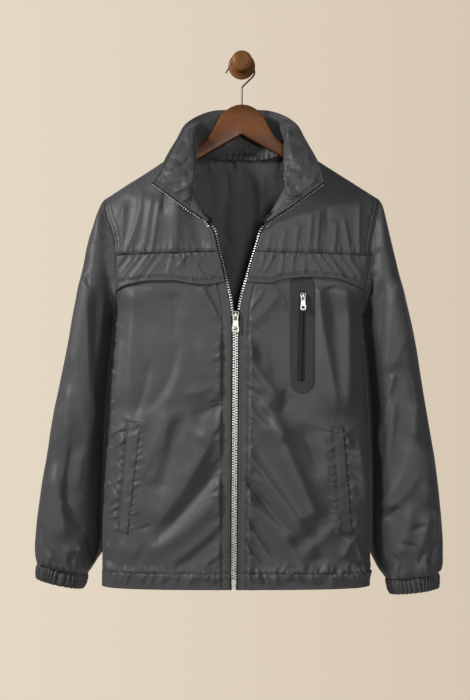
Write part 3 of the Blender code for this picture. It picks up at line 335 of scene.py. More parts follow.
# %% Surfaces of the front and the back
def front(side, u, v):
    """The front's outer face: u from the front edge to the side, v down its rows."""
    z0, w0, lean0, y0, z1, w1, lean1, y1, reach, corner, y_corner = np.moveaxis(front_row(v), -1, 0)
    start, end = stack(lean0 + side * w0, y0, z0), stack(lean1 + side * w1, y1, z1)
    first = start + (end - start) * reach[..., None]
    first[..., 1] = y0
    second = end + (start - end) * corner[..., None]
    second[..., 1] = y_corner
    return bend(start, first, second, end, u)


def back(side, u, v):
    """The back's outer face: u from the centre back to the side, v down its rows."""
    u, v = np.broadcast_arrays(np.asarray(u, float), np.asarray(v, float))
    zm, ym, zn, wn, yn, z1, w1, lean, y1, reach, corner, y_corner = np.moveaxis(back_row(v), -1, 0)
    t = np.clip(u / NECK_SHARE, 0, 1)
    near = stack(lean + side * wn * t, ym + (yn - ym) * t**3, zm + (zn - zm) * t**4)
    neck, end = stack(lean + side * wn, yn, zn), stack(lean + side * w1, y1, z1)
    first = neck + (end - neck) * reach[..., None]
    first[..., 1] = yn
    second = end + (neck - end) * corner[..., None]
    second[..., 1] = y_corner
    far = bend(neck, first, second, end, np.clip((u - NECK_SHARE) / (1 - NECK_SHARE), 0, 1))
    return np.where((u < NECK_SHARE)[..., None], near, far)


def unit(v):
    """Each vector at a length of one."""
    return v / np.maximum(np.linalg.norm(v, axis=-1, keepdims=True), 1e-12)


def grid_normals(points, towards, ring=False):
    """Unit normals of a grid of points, on the side of the given direction or away from the ring's middle."""
    down = np.gradient(points, axis=0)
    across = np.roll(points, -1, 1) - np.roll(points, 1, 1) if ring else np.gradient(points, axis=1)
    n = unit(np.cross(down, across))
    way = points - points.mean(axis=1, keepdims=True) if ring else np.asarray(towards, float)
    return n * np.sign((n * way).sum(-1).mean())


def eased(points, rounds, ring=False):
    """The grid with its small kinks evened out. Its edges stay where they are."""
    grid = points.copy()
    for _ in range(rounds):
        grid[1:-1] += 0.25 * (grid[2:] + grid[:-2] - 2 * grid[1:-1])
        if ring:
            grid[1:-1] += 0.25 * (np.roll(grid, 1, 1) + np.roll(grid, -1, 1) - 2 * grid)[1:-1]
        else:
            grid[:, 1:-1] += 0.25 * (grid[:, 2:] + grid[:, :-2] - 2 * grid[:, 1:-1])
    return grid


print("middle of the right front's edge:", front(-1, 0.0, 11.0).round(4))

# %% [markdown]
# ## How a fold is set down
# Thin nylon keeps every pull: it runs in long slanting ridges from the points that carry the weight, and in
# short puckers wherever thread gathers it. A simulation gives folds of its own, not the ones this jacket has,
# so each main fold is given as one row: where its crest starts and ends, how far it bows to the right, how
# wide it is on its left and on its right, how high it stands, and over what share of its length it rises and
# dies away. Its sides are nearly flat and meet in a narrow crest, because thin cloth folds more than it bends.
# All of that is in millimetres, as one would measure it on the cloth. A minus height is a trough.


# %% Folds, puckers and crumple
def soft_step(t):
    """0 below 0, 1 above 1, and a soft slope between."""
    t = np.clip(t, 0, 1)
    return t * t * (3 - 2 * t)


def folded(x, z, table, spread=1.0):
    """The height in mm that a table of folds adds at x, z in mm. Spread widens and softens the broad ones."""
    total = np.zeros(np.shape(x))
    shortest = 0.03  # share of its length in which a fold can rise or die away
    steepness = 1.65
    for x0, z0, x1, z1, bow, left, right, high, rise, fall in table:
        broad = min(max((max(left, right) - 5) / 4, 0.0), 1.0) * (spread > 1)
        soft = 0.04 + 0.22 * broad
        left, right = left * (1 + (spread - 1) * broad), right * (1 + (spread - 1) * broad * 0.8)
        length = math.hypot(x1 - x0, z1 - z0)
        ax, az = (x1 - x0) / length, (z1 - z0) / length
        t = ((x - x0) * ax + (z - z0) * az) / length
        off = (z - z0) * ax - (x - x0) * az - 4 * bow * t * (1 - t)
        ends = soft_step(t / max(rise, shortest)) * soft_step((1 - t) / max(fall, shortest))
        away = np.sqrt((off / np.where(off < 0, left, right)) ** 2 + soft) - math.sqrt(soft)
        total += high * ends * np.exp(-steepness * away)
    return total


def puckers(seed, start, end, spacing, length, turn, high, wide=3.0, steep=0):
    """Short creases off a seam from start to end, no two alike in place, length, slant and depth. Steep is the
    side on which they drop sharply: -1 for their left, 1 for their right."""
    chance = np.random.default_rng(seed)
    (x0, z0), (x1, z1) = start, end
    run = math.hypot(x1 - x0, z1 - z0)
    slant, sharper = 11, 0.45  # degrees either way, and the share that a steep side is narrower
    rows, place = [], spacing * chance.uniform(0.2, 0.8)
    while place < run:
        x, z = x0 + (x1 - x0) * place / run, z0 + (z1 - z0) * place / run
        way = math.radians(turn + chance.normal(0, slant))
        long = length * chance.uniform(0.45, 1.35)
        width = wide * chance.uniform(0.7, 1.35)
        rows.append((x, z, x + long * math.cos(way), z + long * math.sin(way), chance.normal(0, 0.06) * long,
                     width * (1 + sharper * steep), width * (1 - sharper * steep),
                     high * chance.uniform(0.35, 1.25) * (1 if steep else chance.choice((1, 1, -1))), 0.05, 0.8))
        place += spacing * chance.uniform(0.55, 1.5)
    return rows


def crumple(x, z, size, seed, stretch=1.0, turn=0.0):
    """Smooth lumps from -1 to 1, about size mm across and stretch times as long, turned by some degrees."""
    lattice = np.random.default_rng(seed).uniform(-1, 1, (64, 64))
    c, s = math.cos(math.radians(turn)), math.sin(math.radians(turn))
    p, q = (x * c + z * s) / size, (z * c - x * s) / (size * stretch)
    i, j = np.floor(p).astype(int), np.floor(q).astype(int)
    f, g = soft_step(p - i), soft_step(q - j)
    upper = lattice[i % 64, j % 64] * (1 - f) + lattice[(i + 1) % 64, j % 64] * f
    lower = lattice[i % 64, (j + 1) % 64] * (1 - f) + lattice[(i + 1) % 64, (j + 1) % 64] * f
    return upper * (1 - g) + lower * g


def creased(x, z, size, seed, stretch=2.5, turn=0.0):
    """Thin sharp creases in every direction: where smooth lumps cross zero."""
    lumps = crumple(x, z, size, seed, stretch, turn) + 0.4 * crumple(x, z, size * 0.45, seed + 1, stretch, turn + 35)
    return 1 - np.minimum(np.abs(lumps) * 2.6, 1)


def everyday(x, z, seed, turn=0.0):
    """The small unevenness of all of this cloth, in mm: soft lumps, and creases left from wear and from folding."""
    wander = 7 * crumple(x, z, 45, seed + 9)
    lumps = 0.5 * crumple(x, z, 38, seed, 2.4, turn) + 0.16 * crumple(x, z, 14, seed + 3, 1.6, turn + 20)
    lines = creased(x + wander, z, 46, seed + 5, 2.4, turn) * np.clip(crumple(x, z, 60, seed + 6) + 0.35, 0, 1)
    return lumps + 1.1 * lines


def pull(away, across, along, seam_reach, high, spacing=5.0, length=26.0):
    """What the finish needs to draw the finest gathers beside a seam: where a point lies across and along them,
    and how high they are there. Everything is in mm; away is the distance from the seam."""
    strength = high * np.exp(-np.clip(away, 0, None) / seam_reach) * soft_step((away + 2.0) / 2.0)
    return np.stack([across / spacing, along / length, strength], -1)


def groove(distance, at, wide=1.6):
    """A stitched line that pulls the cloth in, at this distance from an edge, all in mm."""
    return np.exp(-((distance - at) / wide) ** 2)


def run_along(line):
    """Distance along a line of points, from its first."""
    return np.concatenate([[0], np.cumsum(np.linalg.norm(np.diff(line, axis=0), axis=1))])


def read_off(wanted, run, values):
    """The rows of values at wanted places of a run."""
    return np.stack([np.interp(wanted, run, values[:, k]) for k in range(3)], -1)


def in_mm(points):
    """The x and z of points, in mm."""
    return points[..., 0] * 1000, points[..., 2] * 1000


def raised(points, normals, height):
    """Points moved out along their normals by a height in mm."""
    return points + normals * (height / 1000)[..., None]


def with_folds(points, normals, height, towards=None):
    """A panel's face raised by its folds, in mm, and its new normals, towards a way or out of a tube."""
    points = raised(points, normals, height)
    return points, grid_normals(points, towards, ring=towards is None)


crest_height = folded(0.0, -50.0, [(0, 0, 0, -100, 0, 8, 8, 4, 0.2, 0.2)])
print("a fold 4 mm high has this height on its crest:", crest_height.round(2))

# %% [markdown]
# ## From a grid of points to a sheet of cloth
# A panel is a grid of points with a soft rise and fall. The sheet gets a second face one cloth thickness
# behind the first and a rim all round, so it is a closed thin shell, as real cloth is. Its UV map is its flat
# cut in metres, so that the weave follows the cloth, and the attribute "crest" tells the material where the
# cloth stands proud, to be painted lighter there as wear and painted highlight and darker in the troughs as
# painted shade; the painted shade given for seams, clefts and pocket mouths lowers the same attribute.


# %% The sheet
def make_mesh(name, points, faces, look, smooth=True):
    """A new piece from points and faces, with its finish."""
    mesh = bpy.data.meshes.new(name)
    mesh.from_pydata(points, [], faces)
    mesh.polygons.foreach_set("use_smooth", np.full(len(mesh.polygons), smooth))
    mesh.materials.append(look)
    mesh.update()
    obj = bpy.data.objects.new(name, mesh)
    scene.collection.objects.link(obj)
    return obj


def grid_faces(rows, columns, ring, first=0, turned=False):
    """The corners of a grid's faces, its points counted from first."""
    i, j = np.meshgrid(np.arange(rows - 1), np.arange(columns if ring else columns - 1), indexing="ij")
    k = (j + 1) % columns
    quads = np.stack([i * columns + j, (i + 1) * columns + j, (i + 1) * columns + k, i * columns + k], -1)
    quads = quads.reshape(-1, 4) + first
    return quads[:, ::-1] if turned else quads


def cloth_sheet(name, points, normals, look, thick=CLOTH, ring=False, crest=None, pulls=(), painted_shade=0.0):
    """A closed thin shell whose outer face is the grid. Crest, how proud the cloth stands, and the painted shade go
    to its finish as one attribute, and so do up to two sets of gathers in pulls."""
    rows, columns = points.shape[:2]
    thick = np.broadcast_to(thick, (rows, columns))[..., None]
    outer, inner = points.reshape(-1, 3), (points - normals * thick).reshape(-1, 3)
    facing_way = np.cross(points[1, 0] - points[0, 0], points[0, 1] - points[0, 0])
    turned = np.dot(facing_way, normals[0, 0]) < 0
    count = rows * columns
    quads = [grid_faces(rows, columns, ring, 0, turned), grid_faces(rows, columns, ring, count, not turned)]
    edge = np.arange(columns)
    after = (edge + 1) % columns
    if not ring:
        edge, after = edge[:-1], after[:-1]
    top = np.stack([edge, after, after + count, edge + count], -1)
    low = top[:, ::-1] + (rows - 1) * columns
    rims = [top, low]
    if not ring:
        down = np.arange(rows - 1) * columns
        near = np.stack([down + columns, down, down + count, down + columns + count], -1)
        rims += [near, near[:, ::-1] + columns - 1]
    rim = np.concatenate(rims)
    quads.append(rim[:, ::-1] if turned else rim)
    obj = make_mesh(name, np.concatenate([outer, inner]), np.concatenate(quads).tolist(), look)
    mesh = obj.data
    mesh.polygons.foreach_set("use_smooth", np.arange(len(mesh.polygons)) < len(mesh.polygons) - len(rim))

    run = np.concatenate([np.zeros((rows, 1)), np.cumsum(np.linalg.norm(np.diff(points, axis=1), axis=2), 1)], 1)
    fall = np.concatenate([np.zeros((1, columns)), np.cumsum(np.linalg.norm(np.diff(points, axis=0), axis=2), 0)], 0)
    cut = np.stack([run - run.mean(axis=1, keepdims=True), -fall], -1).reshape(-1, 2)
    corners = np.empty(len(mesh.loops), int)
    mesh.loops.foreach_get("vertex_index", corners)
    flat = np.concatenate([cut, cut])[corners]
    if ring:
        column = (corners % count % columns).reshape(-1, 4)
        last = ((column == columns - 1).any(axis=1, keepdims=True) & (column == 0)).ravel()
        flat[last, 0] += np.tile(run[:, -1] + run[:, 1], 2)[corners[last] // columns]
    mesh.uv_layers.new(name="cut").data.foreach_set("uv", flat.ravel())
    # The attribute "crest": how proud the cloth stands, which the finish paints lighter as wear and painted highlight
    # and darker in troughs as painted shade, less the painted shade given for seams, clefts and recesses. The inner
    # face gets the proudness turned over.
    if crest is not None:
        wear_and_painted_light = mesh.attributes.new("crest", "FLOAT", "POINT")
        crest, painted_shade = np.broadcast_arrays(crest, painted_shade)
        wear_and_painted_light.data.foreach_set("value", np.concatenate([(crest - painted_shade).ravel(), (-crest - painted_shade).ravel()]))
    for label, values in zip(("gathers_a", "gathers_b"), pulls):
        drawn = mesh.attributes.new(label, "FLOAT_VECTOR", "POINT")
        drawn.data.foreach_set("vector", np.concatenate([values.reshape(-1, 3)] * 2).ravel())
    for side_of_cut, axis in (("cut_width", 1), ("cut_length", 0)):
        rows = np.linalg.norm(np.diff(points, axis=axis), axis=2).sum(axis)
        near = 1 + len(rows) // 8  # cloth gives a little over a deep fold, so neighbouring rows are averaged
        obj[side_of_cut] = float(np.convolve(rows, np.ones(near) / near, "valid").max())
    return obj


def from_line(x, z, start, end):
    """Distance in mm from the line between two places, across it and past its ends."""
    length = math.hypot(end[0] - start[0], end[1] - start[1])
    ax, az = (end[0] - start[0]) / length, (end[1] - start[1]) / length
    along = (x - start[0]) * ax + (z - start[1]) * az
    past_ends = np.clip(-along, 0, None) + np.clip(along - length, 0, None)
    return np.hypot((x - start[0]) * az - (z - start[1]) * ax, past_ends)


def proudness(height):
    """How far each point's height in mm is above its neighbourhood's, from -1 to 1."""
    blurred = height.copy()
    for _ in range(14):
        blurred[1:-1, 1:-1] = (blurred[:-2, 1:-1] + blurred[2:, 1:-1] + blurred[1:-1, :-2] + blurred[1:-1, 2:]) / 4
    return np.clip((height - blurred) * 0.9, -1, 1)


def attached(obj, body, slot, *nodes):
    """What every piece needs said about it: its body, and the plain model's pieces that it stands for, which are
    hidden. The slot of its finish is not used.
    """
    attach(obj, body)
    if nodes:
        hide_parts(*nodes)


def declare(obj, held, hangs_from, *nodes):
    """What is said of a cloth piece: the same as for every piece, and the sizes of its flat cut that the sheet carried
    are taken off it again.
    """
    attached(obj, BODY, SLOTS[obj.data.materials[0].name], *nodes)
    del obj["cut_width"], obj["cut_length"]


SLOTS = {"shell_cloth": "softshell", "trim_cloth": "softshell_trim", "bonded_cloth": "bonded_patch",
         "woven_tape": "zip_tape", "thread": "softshell_trim"}
print("sheet maker ready")

# %% [markdown]
# ## The cloth's finish
# The shell is a tight plain weave of fine nylon with a satin face. Three scales make it: the threads, read from
# the flat cut so they follow every panel; fine crinkles a few millimetres across, as a bump; and a slow drift of
# colour and gloss. On top of that the proud folds are painted a little lighter, as wear and painted highlight,
# and troughs, seams and clefts darker, as painted shade. Numbers that hold all over sit on the shader itself.


# %% Making a woven finish
def new_look(name, colour, rough, metallic=0.0):
    """A new finish, with its constants on the shader, and the shader."""
    look = bpy.data.materials.new(name)
    look.use_nodes = True
    shader = look.node_tree.nodes["Principled BSDF"]
    shader.inputs["Base Color"].default_value = (*colour, 1)
    shader.inputs["Roughness"].default_value = rough
    shader.inputs["Metallic"].default_value = metallic
    return look, shader


def tint(colour, factor):
    """A colour made lighter or darker."""
    return tuple(min(c * factor, 1.0) for c in colour)


def woven_look(name, colour, rough, thread=0.00045, crinkle=0.00035, wear_and_painted_light=0.16, sheen=0.25, drawn=False):
    """A woven cloth: threads along the cut, fine crinkles, drifting colour, and crests painted lighter as wear and
    painted highlight, troughs and marked places darker as painted shade.
    """
    look, shader = new_look(name, colour, rough)
    shader.inputs["Sheen Weight"].default_value = sheen
    shader.inputs["Sheen Roughness"].default_value = 0.35
    shader.inputs["Specular IOR Level"].default_value = 0.42
    n = Nodes(look)
    flat, solid = n.cut(), n.place()
    threads = 0.05 / thread  # at scale 1 a wave texture has about 20 bands a metre
    weave = n.sum(n.wave(flat, threads, "X", twist=0.25), n.wave(flat, threads, "Y", twist=0.25), "MULTIPLY")
    drift = n.noise(solid, 7.0, 3.0, 0.6)
    fine = n.noise(solid, 95.0, 4.0, 0.62, 0.6)
    folds = n.noise(n.place(scale=(1, 1, 0.55), turn=(0, 0.5, 0)), 42.0, 3.0, 0.55, 1.2)
    sharp = n.ridged(n.noise(n.place(scale=(1, 1, 0.7), turn=(0, -0.4, 0)), 30.0, 2.0, 0.5, 1.4))
    small = n.ridged(n.noise(solid, 78.0, 2.0, 0.55, 1.0))
    # Painted light: the "crest" attribute makes proud folds lighter, as wear and painted highlight, and troughs and the
    # sheet's painted-shade places darker; the ramp's lowest stop lets that painted shade go down to an eighth of the
    # cloth's colour.
    crest = n.add("Attribute", attribute_name="crest").outputs["Fac"]
    shade = n.sum(n.sum(drift, 0.5, "SUBTRACT"), n.sum(crest, wear_and_painted_light, "MULTIPLY"))
    shade = n.sum(shade, n.sum(n.sum(weave, 0.25, "SUBTRACT"), 0.22, "MULTIPLY"))
    base = n.ramp(n.sum(n.sum(shade, 0.35, "MULTIPLY"), 0.5), (0.0, tint(colour, 0.12)), (0.30, tint(colour, 0.72)),
                  (0.50, colour), (0.72, tint(colour, 1.38)))
    n.join(base, shader.inputs["Base Color"])
    gloss = n.spread(n.sum(n.sum(drift, fine), 0.5, "MULTIPLY"), rough - 0.09, rough + 0.09)
    n.join(gloss, shader.inputs["Roughness"])
    creases = n.sum(n.sum(sharp, 2.2, "MULTIPLY"), n.sum(small, 0.9, "MULTIPLY"))
    relief = n.bump(n.sum(n.sum(n.sum(fine, 0.6, "MULTIPLY"), folds), creases), crinkle)
    if drawn:
        relief = n.bump(n.sum(n.gathers("gathers_a"), n.gathers("gathers_b")), 0.001, 1.0, relief)
    n.join(n.bump(weave, 0.00006, 0.6, relief), shader.inputs["Normal"])
    return look


# %% The cloth finishes
SHELL = woven_look("shell_cloth", (0.073, 0.073, 0.075), 0.53, drawn=True)
# A darker copy of the shell cloth, put on the back's inner face as painted shade inside the jacket.
SHELL_PAINTED_SHADE_INSIDE = woven_look("shell_cloth_painted_shade_inside", (0.058, 0.059, 0.063), 0.56, wear_and_painted_light=0.05, sheen=0.1, drawn=True)
TRIM = woven_look("trim_cloth", (0.070, 0.070, 0.072), 0.53, thread=0.0006, crinkle=0.0006, drawn=True)
BONDED = woven_look("bonded_cloth", (0.041, 0.041, 0.043), 0.72, thread=0.0012, crinkle=0.00015, sheen=0.10)
WOVEN_TAPE = woven_look("woven_tape", (0.010, 0.010, 0.011), 0.80, thread=0.0009, crinkle=0.0001, sheen=0.05)
# The thread is painted much darker than the cloth, as painted shade along the stitch rows.
THREAD = woven_look("thread", (0.017, 0.018, 0.020), 0.70, thread=0.0004, crinkle=0.00005, sheen=0.05)
print("finishes:", ", ".join(look.name for look in (SHELL, SHELL_PAINTED_SHADE_INSIDE, TRIM, BONDED, WOVEN_TAPE, THREAD)))

# %% [markdown]
# ## Fronts: yoke, flap and lower front
# Each front is cut in two at the chest. The upper part is the yoke; the lower part tucks under it, and a loose
# flap hangs from the seam to cover the join. All three are one surface here, so a fold can run on from the yoke
# over the flap. What pulls the cloth is the zip: its stiff edge stays straight while the front hangs from the
# shoulder, so long folds fan out from it, slanting down towards the side.

# %% Folds of the fronts, in mm
LOWER_FOLDS = {
    -1: [
        (-176, -380, -185, -580, 0, 8, 9, 3.6, 0.10, 0.2), (-150, -492, -178, -598, 3, 8, 7, -2.6, 0.3, 0.2),
        (-108, -465, -165, -590, 16, 9, 8, -2.0, 0.3, 0.2), (-95, -462, -136, -588, 14, 8, 10, 2.2, 0.3, 0.25),
        (-69, -452, -50, -550, 0, 10, 12, 2.8, 0.3, 0.3), (-12, -540, -106, -562, -3, 8, 9, 3.2, 0.05, 0.35),
        (-12, -561, -92, -604, -2, 9, 8, -3.8, 0.05, 0.3), (-12, -580, -80, -634, 2, 8, 9, 3.0, 0.05, 0.3),
        (-12, -594, -46, -623, 0, 5, 6, -1.6, 0.05, 0.5), (-12, -460, -53, -483, 0, 5, 6, 1.8, 0.05, 0.5),
        (-12, -472, -50, -493, 0, 5, 5, -1.5, 0.05, 0.5), (-12, -502, -52, -531, 0, 6, 7, 2.0, 0.05, 0.5),
        (-12, -514, -48, -540, 0, 5, 5, -1.6, 0.05, 0.5), (-112, -570, -155, -708, -2, 11, 11, 4.2, 0.2, 0.15),
        (-92, -578, -138, -720, -2, 9, 9, -3.2, 0.2, 0.15), (-38, -598, -144, -772, 8, 20, 10, 6.4, 0.2, 0.15),
        (-20, -655, -152, -803, 3, 9, 8, -4.4, 0.1, 0.12), (-18, -695, -165, -818, 14, 12, 10, 4.4, 0.1, 0.2),
        (-14, -742, -130, -838, 6, 7, 8, 2.6, 0.05, 0.3), (-14, -760, -124, -852, 4, 8, 8, -2.6, 0.05, 0.3),
        (-12, -788, -74, -843, 3, 7, 7, 2.6, 0.05, 0.3), (-12, -800, -60, -838, 0, 5, 6, -1.9, 0.05, 0.3),
        (-86, -380, -90, -456, 0, 10, 10, 1.8, 0.2, 0.4), (-112, -385, -112, -470, 0, 11, 10, -1.8, 0.2, 0.3),
        (-60, -378, -25, -442, 0, 4, 5, -1.6, 0.1, 0.3), (-68, -380, -34, -442, 0, 7, 5, 1.7, 0.1, 0.3),
        (-200, -460, -206, -580, 0, 6, 8, 2.2, 0.2, 0.2), (-206, -800, -164, -818, 0, 10, 12, 2.8, 0.3, 0.3),
        (-169, -777, -145, -768, 0, 5, 5, -2.2, 0.2, 0.3), (-120, -600, -126, -650, 0, 7, 6, 0.8, 0.3, 0.3),
        (-150, -600, -196, -592, 3, 5, 5, 1.6, 0.3, 0.3), (-148, -380, -150, -440, 0, 9, 9, 1.4, 0.1, 0.4),
        (-135, -640, -165, -706, 4, 7, 7, -2.0, 0.3, 0.3), (-62, -640, -96, -700, 6, 8, 8, 1.2, 0.3, 0.3),
    ],
    1: [
        (39, -380, 5, -433, 0, 6, 5, 1.1, 0.2, 0.1), (64, -380, 11, -443, 4, 9, 9, 1.5, 0.2, 0.1),
        (30, -402, 8, -434, 0, 5, 5, -0.6, 0.2, 0.1), (1, -484, 66, -578, 0, 13, 9, 3.9, 0.05, 0.3),
        (1, -521, 26, -551, 0, 4, 4, -1.7, 0.05, 0.4), (1, -562, 50, -626, 0, 10, 7, 3.4, 0.05, 0.3),
        (27, -557, 74, -634, 2, 9, 8, 3.4, 0.25, 0.2), (70, -546, 64, -594, 0, 5, 8, -2.1, 0.3, 0.3),
        (117, -380, 154, -596, 0, 11, 9, 4.3, 0.05, 0.2), (142, -380, 158, -470, 0, 9, 9, -1.8, 0.05, 0.4),
        (167, -380, 168, -600, 4, 11, 8, 4.3, 0.05, 0.2), (44, -585, 120, -763, 1, 15, 11, 6.2, 0.2, 0.1),
        (1, -643, 108, -790, 1, 9, 8, 4.2, 0.05, 0.15), (1, -690, 110, -817, -3, 9, 8, -2.9, 0.05, 0.2),
        (1, -694, 52, -747, 0, 4, 4, -1.9, 0.05, 0.3), (3, -718, 102, -800, -4, 10, 7, 3.4, 0.05, 0.25),
        (1, -745, 64, -838, 0, 4, 5, -2.2, 0.05, 0.3), (1, -656, 39, -700, 0, 4, 4, -1.7, 0.05, 0.4),
        (1, -788, 44, -842, 0, 4, 5, -1.9, 0.05, 0.3), (163, -750, 90, -824, 4, 9, 9, 2.8, 0.3, 0.3),
        (180, -787, 197, -836, 0, 6, 6, 2.6, 0.1, 0.3), (178, -790, 162, -827, 0, 6, 6, 2.6, 0.1, 0.3),
        (186, -616, 202, -750, 0, 8, 8, 2.8, 0.3, 0.3), (92, -600, 132, -690, 2, 9, 9, -2.2, 0.3, 0.3),
        (128, -610, 140, -720, 0, 8, 9, 1.9, 0.3, 0.3), (112, -760, 128, -838, 0, 8, 9, -2.0, 0.3, 0.2),
        (60, -770, 100, -842, 0, 8, 8, 1.8, 0.3, 0.2), (36, -470, 40, -530, 0, 9, 9, 1.0, 0.3, 0.3),
    ],
}
YOKE_FOLDS = {
    -1: [
        (-192, -236, -197, -330, 0, 6, 5, 2.6, 0.2, 0.05), (-163, -212, -193, -330, 8, 7, 7, 3.2, 0.2, 0.05),
        (-144, -222, -161, -330, 0, 7, 6, 2.8, 0.2, 0.05), (-132, -232, -147, -330, 0, 6, 5, 3.4, 0.2, 0.05),
        (-126, -218, -129, -266, 0, 5, 6, -3.6, 0.2, 0.4), (-104, -226, -111, -330, 0, 11, 9, 5.0, 0.2, 0.05),
        (-80, -236, -66, -330, 0, 13, 9, -6.5, 0.1, 0.05), (-60, -266, -46, -326, 0, 5, 5, 2.8, 0.2, 0.1),
        (-50, -274, -38, -326, 0, 4, 4, 2.0, 0.2, 0.1), (-178, -200, -215, -300, 4, 8, 8, 1.6, 0.3, 0.3),
    ],
    1: [
        (114, -256, 106, -330, 0, 6, 6, 2.8, 0.2, 0.05), (126, -252, 121, -326, 0, 6, 5, 2.2, 0.2, 0.1),
        (152, -270, 150, -330, 0, 7, 6, 2.8, 0.2, 0.05), (164, -264, 176, -330, 0, 6, 6, 2.8, 0.2, 0.05),
        (190, -240, 190, -330, 0, 6, 6, 2.8, 0.2, 0.05), (92, -276, 84, -330, 0, 6, 6, 2.2, 0.2, 0.05),
        (70, -284, 64, -330, 0, 6, 6, 2.0, 0.2, 0.05), (176, -214, 204, -290, 3, 8, 8, 1.4, 0.3, 0.3),
        (138, -246, 140, -300, 0, 6, 6, -2.0, 0.2, 0.3), (48, -292, 36, -330, 0, 5, 5, 1.6, 0.2, 0.05),
    ],
}
FLAP_FOLDS = {
    -1: [(x, -324, x - 34 - 4 * (k % 2), -371, 0, 4.5, 4.5, 1.5 + 0.7 * (k % 3), 0.05, 0.1)
         for k, x in enumerate((-124, -137, -148, -161, -172, -186))]
    + [(-76, -326, -45, -367, 0, 4, 4, 2.0, 0.05, 0.2), (-65, -326, -37, -364, 0, 4, 4, 1.7, 0.05, 0.2),
       (-87, -326, -59, -369, 0, 4, 4, 2.2, 0.05, 0.2), (-54, -326, -31, -360, 0, 4, 4, 1.5, 0.05, 0.2),
       (-107, -328, -90, -352, 0, 4, 4, 2.2, 0.1, 0.3), (-90, -328, -106, -354, 0, 4, 4, 2.0, 0.1, 0.3),
       (-114, -328, -122, -368, 0, 4, 5, 1.6, 0.05, 0.2)],
    1: [(x, -326, x + 29 + 3 * (k % 2), -369, 0, 4.5, 4.5, 1.4 + 0.7 * (k % 3), 0.05, 0.15)
        for k, x in enumerate((107, 122, 137, 153, 168))]
    + [(67, -328, 61, -364, 0, 4, 5, 2.0, 0.1, 0.2), (83, -328, 80, -366, 0, 5, 5, 1.9, 0.1, 0.2),
       (102, -328, 99, -368, 0, 5, 5, 1.9, 0.1, 0.2), (51, -328, 35, -360, 0, 4, 5, 2.0, 0.1, 0.2),
       (38, -330, 26, -356, 0, 4, 4, 1.4, 0.1, 0.2)],
}
WELTS = {-1: ((-187.0, -602.0), (-203.5, -780.0), (-164.6, -603.0), (-185.6, -786.0)),
         1: ((163.4, -609.5), (178.9, -783.4), (144.3, -609.0), (159.3, -783.4))}
YOKE_SEAM, YOKE_SEAM_DROP = -324.5, 5.5  # z at the zip, and how much lower it is at the armhole
HEM_STITCH, HEM_EDGE = -847.0, -872.0  # z
FLAP_LIFT = 4.0  # how far the flaps' free edges stand off the cloth
ZIP_TURN = {-1: -144, 1: -40}  # the way that the gathers run from the zip
for side, _ in SIDES:
    left = side > 0
    by_zip = -11.8 + side * 14.5
    outer_top, outer_low, inner_top, inner_low = WELTS[side]
    LOWER_FOLDS[side] += [
        *puckers(11 + side, (by_zip, -446), (by_zip, -866), 12.5, 36, ZIP_TURN[side], 2.3, 4.4, -side),
        *puckers(15 + side, (by_zip, -440), (by_zip, -866), 7.0, 15, ZIP_TURN[side] + side * 8, 1.1, 2.6, -side),
        *puckers(21 + side, (side * 20, -847), (side * 222, -847), 8.5, 22, 70 if left else 112, 2.4, 3.6, side),
        *puckers(31 + side, (side * 20, -848), (side * 222, -848), 9.5, 27, -70 if left else -114, 2.6, 4.4, -side),
        *puckers(41 + side, outer_top, outer_low, 13, 30, -40 if left else -138, 2.0 if left else 3.0, 4.4, -side),
        *puckers(51 + side, inner_top, inner_low, 11, 18, 155 if left else 28, 1.4 if left else 2.1, 3.4, side),
        *puckers(61 + side, (side * 205, -430), (side * 222, -860), 22, 26, -55 if left else -125, 1.5, 5.0)]
    seam = (side * 28, -322), (side * 206, -328)
    YOKE_FOLDS[side] += [
        *puckers(71 + side, *seam, 8.5, 20, 93, 1.6, 3.0, side),
        *puckers(75 + side, (side * 90, -158), (side * 222, -228), 13, 16, -80, 1.1, 3.6),
        *puckers(79 + side, (side * 216, -240), (side * 208, -325), 10, 11, 180 if left else 0, 0.9, 2.8)]
    FLAP_FOLDS[side] += [
        *puckers(83 + side, *seam, 8, 18, -91, 1.6, 2.8, -side),
        *puckers(87 + side, (side * 22, -371), (side * 204, -378), 7.0, 11, 90, 1.2, 2.5)]
print("folds:", {side: len(LOWER_FOLDS[side]) + len(YOKE_FOLDS[side]) + len(FLAP_FOLDS[side]) for side, _ in SIDES})


# %% Places an even distance apart
def evenly(surface, side, low, high, count, along_u, fixed, closer=0.0):
    """Values of v (or of u, where along_u is true) an even distance apart on the surface, or closer at both ends."""
    places = np.linspace(low, high, 500)
    held = np.full(500, float(fixed))
    line = surface(side, places, held) if along_u else surface(side, held, places)
    run = run_along(line)
    share = np.linspace(0, 1, count)
    share -= closer * np.sin(2 * math.pi * share) / (2 * math.pi)
    return np.interp(share * run[-1], run, places)


def panel(surface, side, v_low, v_high, rows, columns, towards, closer=0.0):
    """An even grid on a surface between two of its rows: u, v, the points and their normals."""
    v = evenly(surface, side, v_low, v_high, rows, False, 0.45)
    u = evenly(surface, side, 0.0, 1.0, columns, True, (v_low + v_high) / 2, closer)
    v, u = np.meshgrid(v, u, indexing="ij")
    points = surface(side, u, v)
    return u, v, points, grid_normals(points, towards)


def edge_distance(points, column=0):
    """Distance in mm along each row from its first or last point."""
    steps = np.linalg.norm(np.diff(points, axis=1), axis=2) * 1000
    run = np.concatenate([np.zeros((len(points), 1)), np.cumsum(steps, 1)], 1)
    return run if column == 0 else run[:, -1:] - run


def hem_relief(z):
    """The doubled hem's proud edge and the groove of its stitching, in mm."""
    return 0.7 * soft_step((HEM_STITCH + 1 - z) / 3) - groove(HEM_STITCH - z, 0.0, 1.8)


# %% Yokes
FRONT_OUT = (0.0, -1.0, 0.0)
